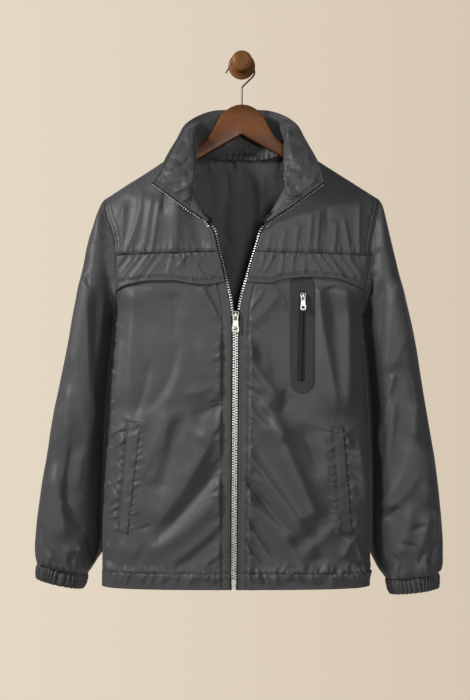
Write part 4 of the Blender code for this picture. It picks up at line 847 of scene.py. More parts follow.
# Rows of stitches, in mm from the zip's edge, from an armhole or a side seam, and from the edge of a flap or welt.
ZIP_STITCH, SEAM_STITCH, FLAP_STITCHES = 14.0, 10.5, (5.0, 8.4)
WELT_STITCHES, WELT_END_STITCHES = (2.2, 18.8), (2.5, 175.5)
seams = {}
for side, label in SIDES:
    u, v, points, normals = panel(front, side, 0, YOKE_ROW, 92, 112, (side * 0.2, -1.0, 0.3))
    x, z = in_mm(points)
    armhole, roll = edge_distance(points, -1), edge_distance(points)
    height = folded(x, z, YOKE_FOLDS[side], 1.5) * 1.15 + everyday(x, z, 100 + side, 10 * side)
    calm = soft_step((z + 150) / -60) * soft_step(roll / 14) * (0.35 + 0.65 * soft_step(armhole / 12))
    height = height * np.clip(calm, 0.12, 1) - 1.1 * groove(armhole, 3.0) - 0.9 * groove(armhole, SEAM_STITCH)
    from_seam = z - YOKE_SEAM + u * YOKE_SEAM_DROP
    height -= 0.35 * groove(from_seam, 0.0, 2.0) + 0.5 * groove(roll, 6.0)
    pulls = (pull(from_seam, x, z, 13, 0.7), pull(armhole - SEAM_STITCH, z, x, 9, 0.5))
    points, outward = with_folds(points, normals, height, FRONT_OUT)
    seams["yoke", side] = (points, outward, armhole, -from_seam)
    # Painted shade in the groove beside the armhole seam.
    yoke = cloth_sheet(f"yoke_{label}_cloth", points, outward, SHELL, crest=proudness(height), pulls=pulls,
                       painted_shade=2 * groove(armhole, 3.0, 1.5))
    declare(yoke, "hung", ["hanger_wood"], f"yoke_{label}")


# %% Lower fronts
def sunk(v):
    """How far in the lower front lies below the yoke's seam, in metres, to make room for the flap."""
    return np.clip(1.0 - (v - YOKE_ROW) / 1.6, 0, None) * (CLOTH + 0.0006)


HEM_CLOTH = 0.0022
DEEPER = {-1: 1.45, 1: 2.4}  # the left front's folds are deeper than the right's
PATCH_MIDDLE, PATCH_HALVES = (97.3, -455.5), (20.6, 99.4)  # the bonded patch keeps the cloth below it flat
for side, label in SIDES:
    u, v, points, normals = panel(front, side, YOKE_ROW, HEM_ROW, 262, 126, (side * 0.2, -1.0, 0.0), 0.35)
    points = eased(points, 10)
    x, z = in_mm(points)
    edge, seam = edge_distance(points), edge_distance(points, -1)
    height = folded(x, z, LOWER_FOLDS[side], 1.6) * DEEPER[side] + everyday(x, z, 110 + side, 25 * side)
    calm = (0.10 + 0.90 * soft_step((edge - 12) / 8)) * (0.3 + 0.7 * soft_step(seam / 18))
    calm *= 0.8 + 0.2 * soft_step((z - HEM_EDGE) / 20)
    if side > 0:
        beside = np.maximum(np.abs(x - PATCH_MIDDLE[0]) - PATCH_HALVES[0],
                            np.abs(z - PATCH_MIDDLE[1]) - PATCH_HALVES[1])
        calm *= 0.22 + 0.78 * soft_step(beside / 9)
    height = height * calm - 1.0 * groove(edge, ZIP_STITCH) - 0.45 * groove(edge, 3.2, 1.2)
    height += hem_relief(z)
    height -= sunk(v) * 1000
    c, s = math.cos(math.radians(ZIP_TURN[side])), math.sin(math.radians(ZIP_TURN[side]))
    pulls = (pull(edge - ZIP_STITCH, z * c - x * s, x * c + z * s, 12, 0.5),
             pull(np.abs(z - HEM_STITCH), x, z, 10, 0.6))
    points, outward = with_folds(points, normals, height, FRONT_OUT)
    seams["front", side] = (points, outward, edge, seam, z, v)
    # Painted shade: a dark line along the welt's mouth, darkening close to the side seam where the sleeve hangs against
    # the body, and in the grooves of the zip's and the hem's stitching.
    tighter, deep = (1, 8) if side > 0 else (1.6, 3)
    mouth = groove(from_line(x, z, *WELTS[side][:2]) * tighter, 0.0, 2.2) * deep
    seam_lines = 5 * np.exp(-seam / 4) + 2 * groove(edge, ZIP_STITCH, 1.2) + 3 * groove(HEM_STITCH - z, 0.0, 1.6)
    lower = cloth_sheet(f"front_{label}_cloth", points, outward, SHELL, np.where(v > 13.6, HEM_CLOTH, CLOTH),
                        crest=proudness(height), pulls=pulls, painted_shade=mouth + seam_lines)
    declare(lower, "hung", [f"yoke_{label}_cloth"], f"front_{label}")

# %% Flaps
for side, label in SIDES:
    shares = evenly(front, side, 0.0, 1.0, 96, True, 8.0)
    tall = np.linspace(YOKE_ROW, 9.5, 300)
    free = through([[z] for _, z in FLAP_EDGE[side]], [s for s, _ in FLAP_EDGE[side]])(shares)[:, 0]
    column_z = front(side, shares[None, :], tall[:, None])[..., 2]
    last_v = np.array([np.interp(-free[k], -column_z[:, k], tall) for k in range(len(shares))])
    share = np.linspace(0, 1, 26)[:, None]
    v = YOKE_ROW + (last_v[None, :] - YOKE_ROW) * share
    u = np.broadcast_to(shares, v.shape)
    points = front(side, u, v)
    normals = grid_normals(points, FRONT_OUT)
    x, z = in_mm(points)
    from_free = z - free[None, :] * 1000
    carried = folded(x, z, LOWER_FOLDS[side][:2]) * 0.2
    height = folded(x, z, FLAP_FOLDS[side]) * 1.1 + 0.7 * everyday(x, z, 120 + side, 0) + carried
    ends = np.minimum(1.0, 0.25 + 6 * np.minimum(u, 1 - u))
    height = height * (0.35 + 0.65 * soft_step(from_free / 9)) * soft_step(np.minimum(u, 1 - u) * 22 + 0.15)
    height += FLAP_LIFT * share**1.5 * ends
    low_row, high_row = FLAP_STITCHES
    height -= 0.8 * groove(from_free, low_row, 1.1) + 0.8 * groove(from_free, high_row, 1.1)
    height += 0.5 * groove(from_free, 2.2, 2.0)
    points, outward = with_folds(points, normals, height, FRONT_OUT)
    seams["flap", side] = (points, outward, from_free)
    pulls = (pull(share * 50 + 0 * x, x, z, 12, 0.8), pull(from_free - high_row, x, z, 8, 0.7))
    # Painted shade in the grooves of the flap's two rows of stitching.
    flap = cloth_sheet(f"flap_{label}_cloth", points, outward, SHELL, np.where(from_free < 9.5, 0.0021, CLOTH),
                       crest=proudness(height), pulls=pulls,
                       painted_shade=2.5 * groove(from_free, high_row, 1.2) + 2 * groove(from_free, low_row, 1.0))
    declare(flap, "hung", [f"yoke_{label}_cloth"], f"flap_{label}")

# %% [markdown]
# ## Back
# One panel from the neck to the hem. Inside the open neck its upper part shows, gathered a little under the
# collar seam and falling in soft upright folds. Outside it hangs from the shoulder blades: two long soft folds
# run down from each, and the side seams and the hem pull it into small puckers.

# %% Back
BACK_FOLDS = [
    (-58, -176, -50, -420, 4, 13, 12, 2.6, 0.1, 0.4), (-24, -176, -30, -390, -3, 9, 9, 1.8, 0.1, 0.4),
    (13, -176, 18, -430, 3, 10, 10, 2.4, 0.1, 0.4), (34, -178, 30, -360, 0, 7, 8, -2.2, 0.1, 0.4),
    (54, -178, 62, -420, -4, 11, 12, 2.4, 0.1, 0.4), (-150, -260, -96, -640, -14, 20, 17, 5.0, 0.3, 0.35),
    (146, -262, 104, -650, 16, 18, 20, 5.0, 0.3, 0.35), (-176, -340, -150, -760, -6, 13, 14, 3.8, 0.3, 0.3),
    (176, -350, 152, -740, 6, 14, 13, 3.8, 0.3, 0.3), (-40, -430, -56, -840, 8, 17, 15, 4.4, 0.3, 0.2),
    (36, -440, 30, -846, -8, 15, 17, 4.2, 0.3, 0.2), (-104, -560, -96, -850, 4, 13, 13, 3.4, 0.3, 0.15),
    (96, -580, 110, -850, -4, 13, 13, 3.2, 0.3, 0.15), (-206, -440, -128, -560, 6, 8, 9, 2.8, 0.15, 0.4),
    (206, -446, 132, -566, -6, 9, 8, 2.6, 0.15, 0.4), (-214, -600, -150, -690, 5, 8, 8, 2.2, 0.15, 0.4),
    (214, -620, 156, -716, -5, 8, 8, 2.2, 0.15, 0.4), (-190, -250, -110, -300, 4, 9, 10, 1.8, 0.2, 0.4),
    (190, -250, 112, -304, -4, 10, 9, 1.8, 0.2, 0.4), (0, -560, -6, -850, 3, 11, 11, -2.6, 0.3, 0.15),
]
for seam in (
    (201, (-78, -163), (78, -163), 8.5, 24, -90, 2.0, 3.0), (202, (-220, -847), (220, -847), 9, 14, 90, 1.3, 3.0),
    (203, (-220, -848), (220, -848), 13, 20, -90, 1.5, 4.5), (204, (-214, -430), (-232, -850), 20, 26, -40, 1.6, 5.0),
    (205, (206, -430), (214, -850), 20, 26, -140, 1.6, 5.0), (206, (-86, -146), (-220, -228), 13, 15, -80, 1.0, 3.6),
    (207, (86, -146), (220, -228), 13, 15, -100, 1.0, 3.6),
):  # gathers at the collar, above and below the hem's stitching, beside the side seams and on the shoulders
    BACK_FOLDS += puckers(*seam)

BACK_OUT = (0, 1, 0)
half_v = evenly(back, 1, 0.0, 13.0, 196, False, 0.1)
half_u = np.concatenate([np.linspace(0, NECK_SHARE, 30)[:-1],
                         NECK_SHARE + (1 - NECK_SHARE) * np.linspace(0, 1, 54)])
v, u = np.meshgrid(half_v, half_u, indexing="ij")
points = np.concatenate([back(-1, u, v)[:, ::-1], back(1, u, v)[:, 1:]], axis=1)
points = eased(points, 8)
normals = grid_normals(points, BACK_OUT)
x, z = in_mm(points)
v_all = np.broadcast_to(half_v[:, None], x.shape)
side_seam = np.minimum(edge_distance(points), edge_distance(points, -1))
height = folded(x, z, BACK_FOLDS, 1.5) + everyday(x, z, 131, 0)
calm = soft_step((v_all * 9) / 1.4 + 0.15) * (0.3 + 0.7 * soft_step(side_seam / 18))
calm *= 0.45 + 0.55 * soft_step((z - HEM_EDGE) / 26)
height = height * calm - 0.9 * groove(side_seam, 3.0) * soft_step(v_all - 0.3)
height += hem_relief(z)
near_wall = points[..., 1] * 1000 + height
height -= np.clip(near_wall + 5.5, 0, None) * 0.7
points, outward = with_folds(points, normals, height, BACK_OUT)
seams["back"] = (points, outward, z, side_seam, v_all)
back_cloth = cloth_sheet("back_cloth", points, outward, SHELL, np.where(v_all > 12.6, HEM_CLOTH, CLOTH),
                         crest=proudness(height),
                         pulls=(pull(v_all * 9, x, z, 14, 0.8), pull(np.abs(z - HEM_STITCH), x, z, 10, 0.6)))
# The back's inner faces, seen inside the open neck, take the darker copy of the shell cloth: painted shade inside the
# jacket.
back_cloth.data.materials.append(SHELL_PAINTED_SHADE_INSIDE)
for face in back_cloth.data.polygons:
    if face.normal.y < -0.05:
        face.material_index = 1
declare(back_cloth, "hung", ["hanger_wood"], "back")

# %% [markdown]
# ## Sleeves and cuffs
# A sleeve is a tube set into the armhole and hanging nearly straight, with nothing in it, so its front falls
# back against its back in one long upright trough beside the body and swings out over the cuff. Its folds are
# set from the front; the hidden side gets a set of the same kind. The cuff is a short tube gathered by elastic
# into ribs a few millimetres apart.

# %% Folds of the sleeves, in mm
SLEEVE_FOLDS = {
    -1: [
        (-236, -246, -237, -316, 0, 8, 7, 2.2, 0.3, 0.3), (-254, -358, -249, -382, 0, 4, 4, -2.2, 0.3, 0.3),
        (-257, -345, -250, -640, -2, 15, 11, 5.6, 0.15, 0.25), (-240, -372, -229, -640, 0, 9, 8, -4.6, 0.2, 0.2),
        (-246, -556, -239, -756, 3, 12, 8, 5.2, 0.2, 0.2), (-226, -556, -225, -750, 0, 8, 6, -4.2, 0.2, 0.2),
        (-281, -535, -284, -632, 0, 8, 8, 2.4, 0.3, 0.3), (-274, -626, -287, -738, -3, 6, 7, -3.3, 0.3, 0.1),
        (-289, -734, -246, -784, -8, 6, 7, -3.3, 0.1, 0.3), (-307, -664, -290, -800, 0, 15, 9, 4.4, 0.3, 0.2),
        (-331, -762, -317, -828, 0, 5, 6, -2.8, 0.3, 0.3), (-311, -810, -299, -840, 0, 4, 4, -2.4, 0.2, 0.2),
        (-270, -808, -287, -838, 0, 4, 4, -2.4, 0.2, 0.2), (-293, -808, -261, -808, -6, 5, 5, 2.8, 0.2, 0.2),
        (-256, -786, -245, -838, 0, 5, 5, -2.8, 0.2, 0.2), (-270, -400, -278, -520, 0, 10, 10, 1.6, 0.3, 0.3),
        (-300, -560, -310, -650, 0, 9, 10, 2.0, 0.3, 0.3), (-262, -640, -272, -720, 0, 8, 8, 2.4, 0.3, 0.3),
        (-252, -260, -262, -340, 2, 7, 8, 1.5, 0.3, 0.3),
    ],
    1: [
        (233, -360, 214, -530, -3, 9, 8, -4.0, 0.2, 0.2), (251, -358, 237, -530, 6, 10, 12, 4.6, 0.2, 0.2),
        (249, -520, 238, -568, 0, 6, 6, 2.8, 0.2, 0.3), (244, -553, 224, -648, 3, 5, 5, 2.8, 0.2, 0.3),
        (251, -553, 225, -738, 4, 6, 6, 3.4, 0.2, 0.3), (285, -628, 225, -751, 17, 12, 10, 5.6, 0.2, 0.15),
        (276, -727, 255, -828, 4, 8, 9, 3.4, 0.3, 0.2), (259, -737, 231, -766, 0, 6, 6, -3.2, 0.2, 0.3),
        (297, -630, 304, -745, 0, 10, 10, 2.8, 0.3, 0.3), (300, -770, 277, -777, 0, 4, 4, -2.4, 0.2, 0.2),
        (259, -799, 289, -807, 0, 4, 5, -2.4, 0.2, 0.2), (251, -820, 264, -850, 0, 4, 4, -2.4, 0.2, 0.2),
        (300, -811, 288, -837, 0, 4, 4, -2.4, 0.2, 0.2), (324, -796, 308, -837, 0, 6, 6, -3.4, 0.2, 0.2),
        (234, -834, 246, -850, 0, 5, 5, -2.4, 0.2, 0.2), (228, -256, 232, -330, 0, 7, 7, 2.0, 0.3, 0.3),
        (284, -560, 280, -640, 0, 9, 9, 2.2, 0.3, 0.3), (306, -745, 290, -815, 0, 8, 8, 3.0, 0.3, 0.2),
        (262, -420, 270, -520, 0, 10, 10, 1.5, 0.3, 0.3), (320, -740, 314, -800, 0, 7, 7, 2.2, 0.3, 0.3),
    ],
}
HIDDEN_FOLDS = [  # of a left sleeve; a right one has them mirrored
    (236, -300, 262, -520, 5, 12, 11, 4.6, 0.25, 0.3), (256, -480, 282, -660, -5, 11, 11, 4.0, 0.3, 0.3),
    (234, -560, 262, -760, 8, 11, 12, 4.4, 0.25, 0.2), (300, -600, 296, -800, 3, 11, 10, 3.8, 0.3, 0.2),
    (226, -470, 270, -560, 3, 6, 7, -2.8, 0.2, 0.3), (316, -720, 272, -810, 3, 7, 8, 3.0, 0.2, 0.2),
    (246, -760, 262, -842, 0, 6, 6, 2.8, 0.2, 0.2), (290, -800, 284, -850, 0, 5, 5, -2.6, 0.2, 0.2),
]
HIDDEN_SLEEVE_FOLDS = {}
for side, _ in SIDES:
    wrist = -843 if side < 0 else -858
    cuff_seam = (side * 244, wrist - 12), (side * 333, wrist + 6)
    HIDDEN_SLEEVE_FOLDS[side] = [(side * x0, z0, side * x1, *rest) for x0, z0, x1, *rest in HIDDEN_FOLDS]
    HIDDEN_SLEEVE_FOLDS[side] += puckers(305 + side, *cuff_seam, 6, 24, 92, 2.2, 3.2)
    SLEEVE_FOLDS[side] += puckers(301 + side, *cuff_seam, 8.5, 34, 92, 3.2, 3.8, 1)
    SLEEVE_FOLDS[side] += puckers(309 + side, (side * 222, -245), (side * 206, -400), 11, 14,
                                  8 if side > 0 else 172, 1.2, 3.2)
print("sleeve folds:", {side: len(SLEEVE_FOLDS[side]) for side, _ in SIDES})

# %% Sleeves
ROUNDNESS, SLEEVE_TUCK = 2.35, 0.018


def squared(value):
    """A cosine or sine drawn out, so that a ring of them is a little squarer than a circle."""
    return np.sign(value) * np.abs(value) ** (2 / ROUNDNESS)


def ring_points(rows, side, angle):
    """A flattened ring for every row of a tube's table."""
    wo, zo, lo, do, wi, zi, li, di, y_front, y_back = np.moveaxis(rows[:, None, :], -1, 0)
    outer, inner = stack(lo + side * wo, 0, zo - side * do), stack(li + side * wi, 0, zi - side * di)
    c, s = squared(np.cos(angle)), squared(np.sin(angle))
    place = (outer + inner) / 2 + (outer - inner) / 2 * c[..., None]
    place[..., 1] = (y_front + y_back) / 2 + (y_front - y_back) / 2 * s + SLEEVE_TUCK * ((1 - c) / 2) ** 2
    return place


def hole_points(side, angle):
    """The armhole: 0 is the shoulder, a quarter turn the front, half a turn the armpit."""
    top, low = FRONT[0, 4], FRONT[ARMPIT, 4]
    z = top + (low - top) * (1 - squared(np.cos(angle))) / 2
    places = np.linspace(0, 1, 900)
    loops = []
    for surface, last in ((front, ARMPIT), (back, BACK_ARMPIT)):
        line = surface(side, np.ones(900), places * last)
        loops.append(read_off(-z, -line[:, 2], line))
    return np.where((np.sin(angle) >= 0)[:, None], loops[0], loops[1])


def all_round(count):
    """Angles an even distance apart, once round a tube."""
    return 2 * math.pi * np.arange(count) / count


def tube(side, rows, angle):
    """The sleeve's rings; the first two rows grow out of the armhole."""
    hole = hole_points(side, angle)
    rings = ring_points(sleeve_row(rows), side, angle[None, :])
    blend = (0.5 - 0.5 * np.cos(math.pi * np.clip(rows / 2.0, 0, 1)))[:, None, None]
    start = hole[None] + np.stack([side * (0.0004 + 0.0075 * rows), 0 * rows, -0.002 * rows], -1)[:, None, :]
    return start + (rings - start) * blend


for side, label in SIDES:
    angle = all_round(128)
    coarse = np.linspace(0.0, 15.0, 400)
    outer_line = tube(side, coarse, np.array([0.0, math.pi / 2]))[:, 1]
    run = run_along(outer_line)
    rows = np.interp(np.linspace(0, run[-1], 200), run, coarse)
    points = tube(side, rows, angle)
    c, behind = np.cos(angle)[None, :], soft_step(-np.sin(angle) * 1.6)[None, :]
    hanging = soft_step((rows[:, None] - 1.6) / 1.6) * soft_step((14.6 - rows[:, None]) / 2)
    points[..., 0] -= side * 0.0130 * soft_step((-c - 0.35) / 0.45) * behind * hanging
    points[..., 1] += 0.0060 * soft_step((-c - 0.30) / 0.5) * soft_step(np.sin(angle)[None, :] * 1.6) * hanging
    points = eased(points, 6, ring=True)
    normals = grid_normals(points, None, ring=True)
    x, z = in_mm(points)
    toward = soft_step(0.5 - normals[..., 1] * 1.4)
    height = folded(x, z, SLEEVE_FOLDS[side], 1.45) * toward * (1.9 if side < 0 else 2.2)
    height += folded(x, z, HIDDEN_SLEEVE_FOLDS[side], 1.45) * (1 - toward)
    height += everyday(x + 300 * np.sign(normals[..., 1]), z, 140 + side, 5 * side)
    body_side = soft_step((np.abs(normals[..., 0]) * (normals[..., 0] * side < 0) - 0.55) / 0.35)
    height = height * (0.25 + 0.75 * soft_step(rows[:, None] / 1.2)) * (1 - 0.75 * body_side)
    height *= 1 - 0.6 * soft_step((np.abs(normals[..., 0]) - 0.6) / 0.35)
    height = np.clip(height, -9, 7.5) * (0.3 + 0.7 * soft_step((15 - rows[:, None]) / 0.35))
    near_wall = points[..., 1] * 1000 + height * np.clip(normals[..., 1], 0, 1)
    height -= np.clip(near_wall + 5.0, 0, None) * np.clip(normals[..., 1], 0, 1)
    points, outward = with_folds(points, normals, height)
    round_mm = np.broadcast_to(np.minimum(angle, 2 * math.pi - angle) * 55, x.shape)
    pulls = (pull((15 - rows[:, None]) * 26 + 0 * x, round_mm, z, 20, 1.0),
             pull(rows[:, None] * 17 + 0 * x, z, x, 9, 0.5))
    # Painted shade on the side of the sleeve that faces the body, darkening the cleft between them.
    sleeve = cloth_sheet(f"sleeve_{label}_cloth", points, outward, SHELL, ring=True,
                         crest=proudness(height), painted_shade=7 * body_side, pulls=pulls)
    declare(sleeve, "hung", [f"yoke_{label}_cloth"], f"sleeve_{label}")

# %% Cuffs
CUFF_RIBS = 36
for side, label in SIDES:
    chance = np.random.default_rng(400 + side)
    angle = all_round(336)
    rows = np.linspace(0.0, 2.0, 18)
    down = rows[:, None] * 12  # mm from the seam
    phase = np.cumsum(1 + 0.45 * np.interp(angle, np.linspace(0, 2 * math.pi, 24), chance.uniform(-1, 1, 24)))
    phase = phase / phase[-1] * CUFF_RIBS * 2 * math.pi
    deep = np.interp(angle, np.linspace(0, 2 * math.pi, 40), chance.uniform(0.55, 1.3, 40))
    middle = np.sin(np.clip(rows / 2.0, 0, 1) * math.pi)[:, None]
    points = ring_points(cuff_row(rows), side, angle[None, :])
    normals = grid_normals(points, None, ring=True)
    slant = 0.9 * np.sin(angle * 5)[None, :] * rows[:, None]
    rib = np.abs(np.cos((phase + slant) / 2))
    height = 1.8 * deep * (rib * 2 - 1.3) * (0.75 + 0.25 * middle)
    height += 0.3 * middle - 1.2 * groove(down, 1.0, 1.6) + 0.5 * crumple(angle * 80, down, 9, 401 + side)
    height -= 0.7 * groove(down, 12.5, 1.3)
    points, outward = with_folds(points, normals, height)
    # Painted shade in the valleys between the elastic ribs and in the groove of the seam.
    cuff = cloth_sheet(f"cuff_{label}_cloth", points, outward, TRIM, 0.0018, ring=True,
                       crest=proudness(height), painted_shade=4.5 * (1 - rib) ** 1.5 + 2 * groove(down, 1.0, 2.0))
    declare(cuff, "gathered", [f"sleeve_{label}_cloth"], f"cuff_{label}")

# %% [markdown]
# ## Collar and turned-out facings
# The collar is a double strip of the shell cloth, 80 mm high at the back. It stands against the hanger and then
# rolls over, so what shows in front is its inner face. Below it each front edge is turned out as well, down to
# where the zip starts to pull it closed. Both are stiffer than the shell and crumple in small sharp facets.

# %% The facing and the collar as surfaces
def facing(side, u, k):
    """The hidden face of the turned-out edge: u from the roll to the free edge, k down from the neck seam."""
    u, k = np.broadcast_arrays(np.asarray(u, float), np.asarray(k, float))
    roll = front(side, np.zeros(k.shape), NECK_CROSSING + (FACING_END - NECK_CROSSING) * k / 3)
    lean, w, y, z = np.moveaxis(facing_row(k), -1, 0)
    edge = stack(lean + side * w, y, z)
    turn = roll + (edge - roll) * 0.35
    turn[..., 1] = np.minimum(roll[..., 1], edge[..., 1]) - 0.002
    t = u[..., None]
    return roll * (1 - t) ** 2 + turn * 2 * t * (1 - t) + edge * t**2


def collar(side, s, h):
    """The collar's outer face as rows over h and columns over s: s from the front edge to the centre back."""
    s, h = np.asarray(s, float), np.asarray(h, float)
    lean, w1, y1, z1, w2, y2, z2, lean_top, w3, y3, z3 = np.moveaxis(collar_station(s), -1, 0)
    low = facing(side, np.clip(1 - s / CROSSING_STATION, 0, 1), np.zeros(s.shape))
    share = (SHOULDER_STATION - s) / (SHOULDER_STATION - CROSSING_STATION)
    neck = front(side, np.zeros(s.shape), NECK_CROSSING * np.clip(share, 0, 1))
    share = (len(COLLAR) - 1 - s) / (len(COLLAR) - 1 - SHOULDER_STATION)
    nape = back(side, NECK_SHARE * np.clip(share, 0, 1), np.zeros(s.shape))
    seam = np.where((s < CROSSING_STATION)[:, None], low, np.where((s < SHOULDER_STATION)[:, None], neck, nape))
    rows = [stack(lean + side * w1, y1, z1), stack((lean + lean_top) / 2 + side * w2, y2, z2),
            stack(lean_top + side * w3, y3, z3)]
    lapped = soft_step((s - 5.6) / 0.8)[:, None]
    seam = seam + unit(rows[0] - seam) * 0.0004 * (1 - lapped) + np.array([0.0, -0.0021, -0.0060]) * lapped
    return through(np.stack([seam] + rows).reshape(4, -1), COLLAR_HEIGHTS)(h).reshape(len(h), len(s), 3)


COLLAR_FOLDS = {
    -1: [(-84, -112, -92, -146, 0, 6, 6, 1.8, 0.2, 0.3), (-96, -140, -112, -176, 0, 7, 6, 1.8, 0.2, 0.3),
         (-84, -172, -104, -190, 0, 4, 4, -2.0, 0.2, 0.3), (-104, -176, -122, -206, 0, 7, 7, 2.0, 0.2, 0.3),
         (-88, -196, -120, -200, 3, 5, 5, 1.8, 0.2, 0.3), (-92, -214, -126, -214, 3, 5, 5, -1.6, 0.2, 0.3),
         (-82, -216, -112, -232, 0, 4, 5, 1.8, 0.2, 0.3), (-78, -232, -100, -246, 0, 4, 4, 1.6, 0.2, 0.3)],
    1: [(64, -118, 82, -134, 0, 4, 5, 2.0, 0.2, 0.3), (74, -128, 98, -150, 0, 6, 6, -1.2, 0.2, 0.3),
        (76, -140, 84, -176, 0, 6, 6, 1.8, 0.2, 0.3), (72, -186, 94, -192, 0, 4, 4, -2.2, 0.2, 0.3),
        (72, -198, 98, -206, 0, 5, 5, 1.9, 0.2, 0.3), (70, -214, 92, -226, 0, 4, 4, -2.0, 0.2, 0.3),
        (72, -230, 100, -234, -2, 4, 5, 1.9, 0.2, 0.3), (102, -160, 112, -190, 0, 7, 7, 1.3, 0.3, 0.3),
        (98, -206, 122, -212, 0, 6, 6, 1.2, 0.3, 0.3)],
}
COLLAR_FOLDS[-1] += puckers(501, (-80, -120), (-76, -246), 9, 13, 190, 1.3, 2.6)
COLLAR_FOLDS[1] += puckers(502, (68, -120), (66, -246), 9, 14, -12, 1.3, 2.6)

# %% Collar
stations = np.concatenate([np.linspace(0, 2, 34)[:-1], np.linspace(2, 6, 44)[:-1], np.linspace(6, 9, 42)])
heights = np.linspace(0, 1, 46)
points = np.concatenate([collar(-1, stations, heights), collar(1, stations, heights)[:, ::-1][:, 1:]], axis=1)
points = eased(points, 5)
across, up = np.gradient(points, axis=1), np.gradient(points, axis=0)
normals = unit(np.cross(across, up))
normals *= -np.sign((normals[20, 110] * (0, -1, 0)).sum())
x, z = in_mm(points)
s_all = np.concatenate([stations, stations[::-1][1:]])
shown = soft_step(normals[..., 1] * 1.3 + 0.1) * soft_step((6.4 - s_all) / 1.2)
folds = np.where(x < 0, folded(x, z, COLLAR_FOLDS[-1]), folded(x, z, COLLAR_FOLDS[1]))
height = -1.9 * folds * shown - 0.4 * everyday(x, z, 151, 30) - 0.9 * creased(x, z, 19, 153, 1.6, 40) * shown
height += 0.35 * (1 - shown) * creased(x + points[..., 1] * 900, z, 26, 160)
falls = np.linalg.norm(np.diff(points[::-1], axis=0), axis=2)
from_top = np.concatenate([np.zeros((1, x.shape[1])), np.cumsum(falls, 0)])[::-1] * 1000
from_seam = from_top[:1] - from_top
from_front = np.minimum(edge_distance(points), edge_distance(points, -1))
calm = (0.25 + 0.75 * soft_step(from_top / 10)) * (0.2 + 0.8 * soft_step(from_seam / 8))
calm *= 0.15 + 0.85 * soft_step(from_front / 14)
height = height * calm + 0.55 * groove(from_top, 5.2, 1.1) - 0.5 * groove(from_top, 2.4, 1.8)
height += 0.5 * groove(from_front, 4.5, 1.1) + 0.5 * groove(from_front, 8.0, 1.1)
points = raised(points, normals, height)
outward = unit(np.cross(np.gradient(points, axis=1), np.gradient(points, axis=0)))
outward *= np.sign((outward * normals).sum(-1).mean())
nape = soft_step((s_all - 6.2) / 0.8) + 0 * x
# Painted shade: the inner collar at the nape is darkened, most near the neck seam, and so are the grooves of the stitch
# rows along the top and the front edges; a dark line is also painted across the nape where the hanger loop is sewn.
edge_lines = 3.5 * groove(from_top, 5.2, 1.4) * (1 - nape) + 2.5 * groove(from_front, 4.5, 1.3)
loop_line = 6 * groove(from_seam, 11.0, 1.5) * soft_step((24 - np.abs(x - 1.5)) / 2) * nape
gathered = pull(from_seam, x, z, 16, 1.6, 7)
gathered[..., 2] *= nape
in_shade = nape * (2.4 + 5 * np.exp(-from_seam / 14))
collar_cloth = cloth_sheet("collar_cloth", points, outward, TRIM, COLLAR_CLOTH, crest=proudness(-height),
                           painted_shade=in_shade + edge_lines + loop_line, pulls=(gathered,))
collar_grid = (points, outward, from_top, from_front)
declare(collar_cloth, "hung", ["yoke_left_cloth", "yoke_right_cloth", "back_cloth"], "collar")

# %% Turned-out facings
facing_grids = {}
for side, label in SIDES:
    k, u = np.meshgrid(np.linspace(0, 2.9, 34), np.linspace(0, 1, 16), indexing="ij")
    points = facing(side, u, k)
    normals = grid_normals(points, (side * 0.3, 1, 0))
    x, z = in_mm(points)
    gathers = puckers(175 + side, (side * 72, -252), (side * 36, -288), 6, 10, -90, 1.0, 2.2)
    height = -0.5 * everyday(x, z, 170 + side, 40) - folded(x, z, gathers)
    from_edge = edge_distance(points, -1)
    height = height * (0.2 + 0.8 * soft_step(from_edge / 8)) * soft_step(edge_distance(points) / 5)
    height += 0.4 * groove(from_edge, 4.5, 1.1)
    points, outward = with_folds(points, normals, height, (side * 0.3, 1, 0))
    facing_grids[side] = (points, outward, from_edge)
    turned = cloth_sheet(f"facing_{label}_cloth", points, outward, SHELL, FACING_CLOTH, crest=proudness(-height))
    declare(turned, "hung", ["collar_cloth"], f"facing_{label}")

# %% [markdown]
# ## Pockets
# Each hand pocket is a welt: a strip folded double, stitched down on its inner long side and at both ends, with
# its opening along the side nearest the sleeve. The chest pocket is a patch of matte cloth bonded on, with a slot
# for a fine zip. All of them are laid on the finished front, so they follow its folds.

# %% Laying a piece on a front
from mathutils.bvhtree import BVHTree


def laid_on(tree, x, z, height):
    """Points that stand the height off the cloth, looked up from the front. All are arrays, the height in mm."""
    spots = np.empty(x.shape + (3,))
    for place in np.ndindex(x.shape):
        hit = tree.ray_cast(Vector((x[place], -0.25, z[place])), Vector((0, 1, 0)))[0]
        spots[place] = hit if hit is not None else (x[place], np.nan, z[place])
    gap = np.isnan(spots[..., 1])
    spots[..., 1][gap] = np.nanmean(spots[..., 1])
    return spots - (0.0, 1.0, 0.0) * (height / 1000)[..., None]


def tree_of(obj):
    """A sheet's outer face, ready for looking up places on it."""
    mesh = obj.data
    count = len(mesh.vertices) // 2
    faces = [tuple(face.vertices) for face in mesh.polygons if max(face.vertices) < count]
    return BVHTree.FromPolygons([v.co for v in mesh.vertices], faces)


trees = {side: tree_of(bpy.data.objects[f"front_{label}_cloth"]) for side, label in SIDES}

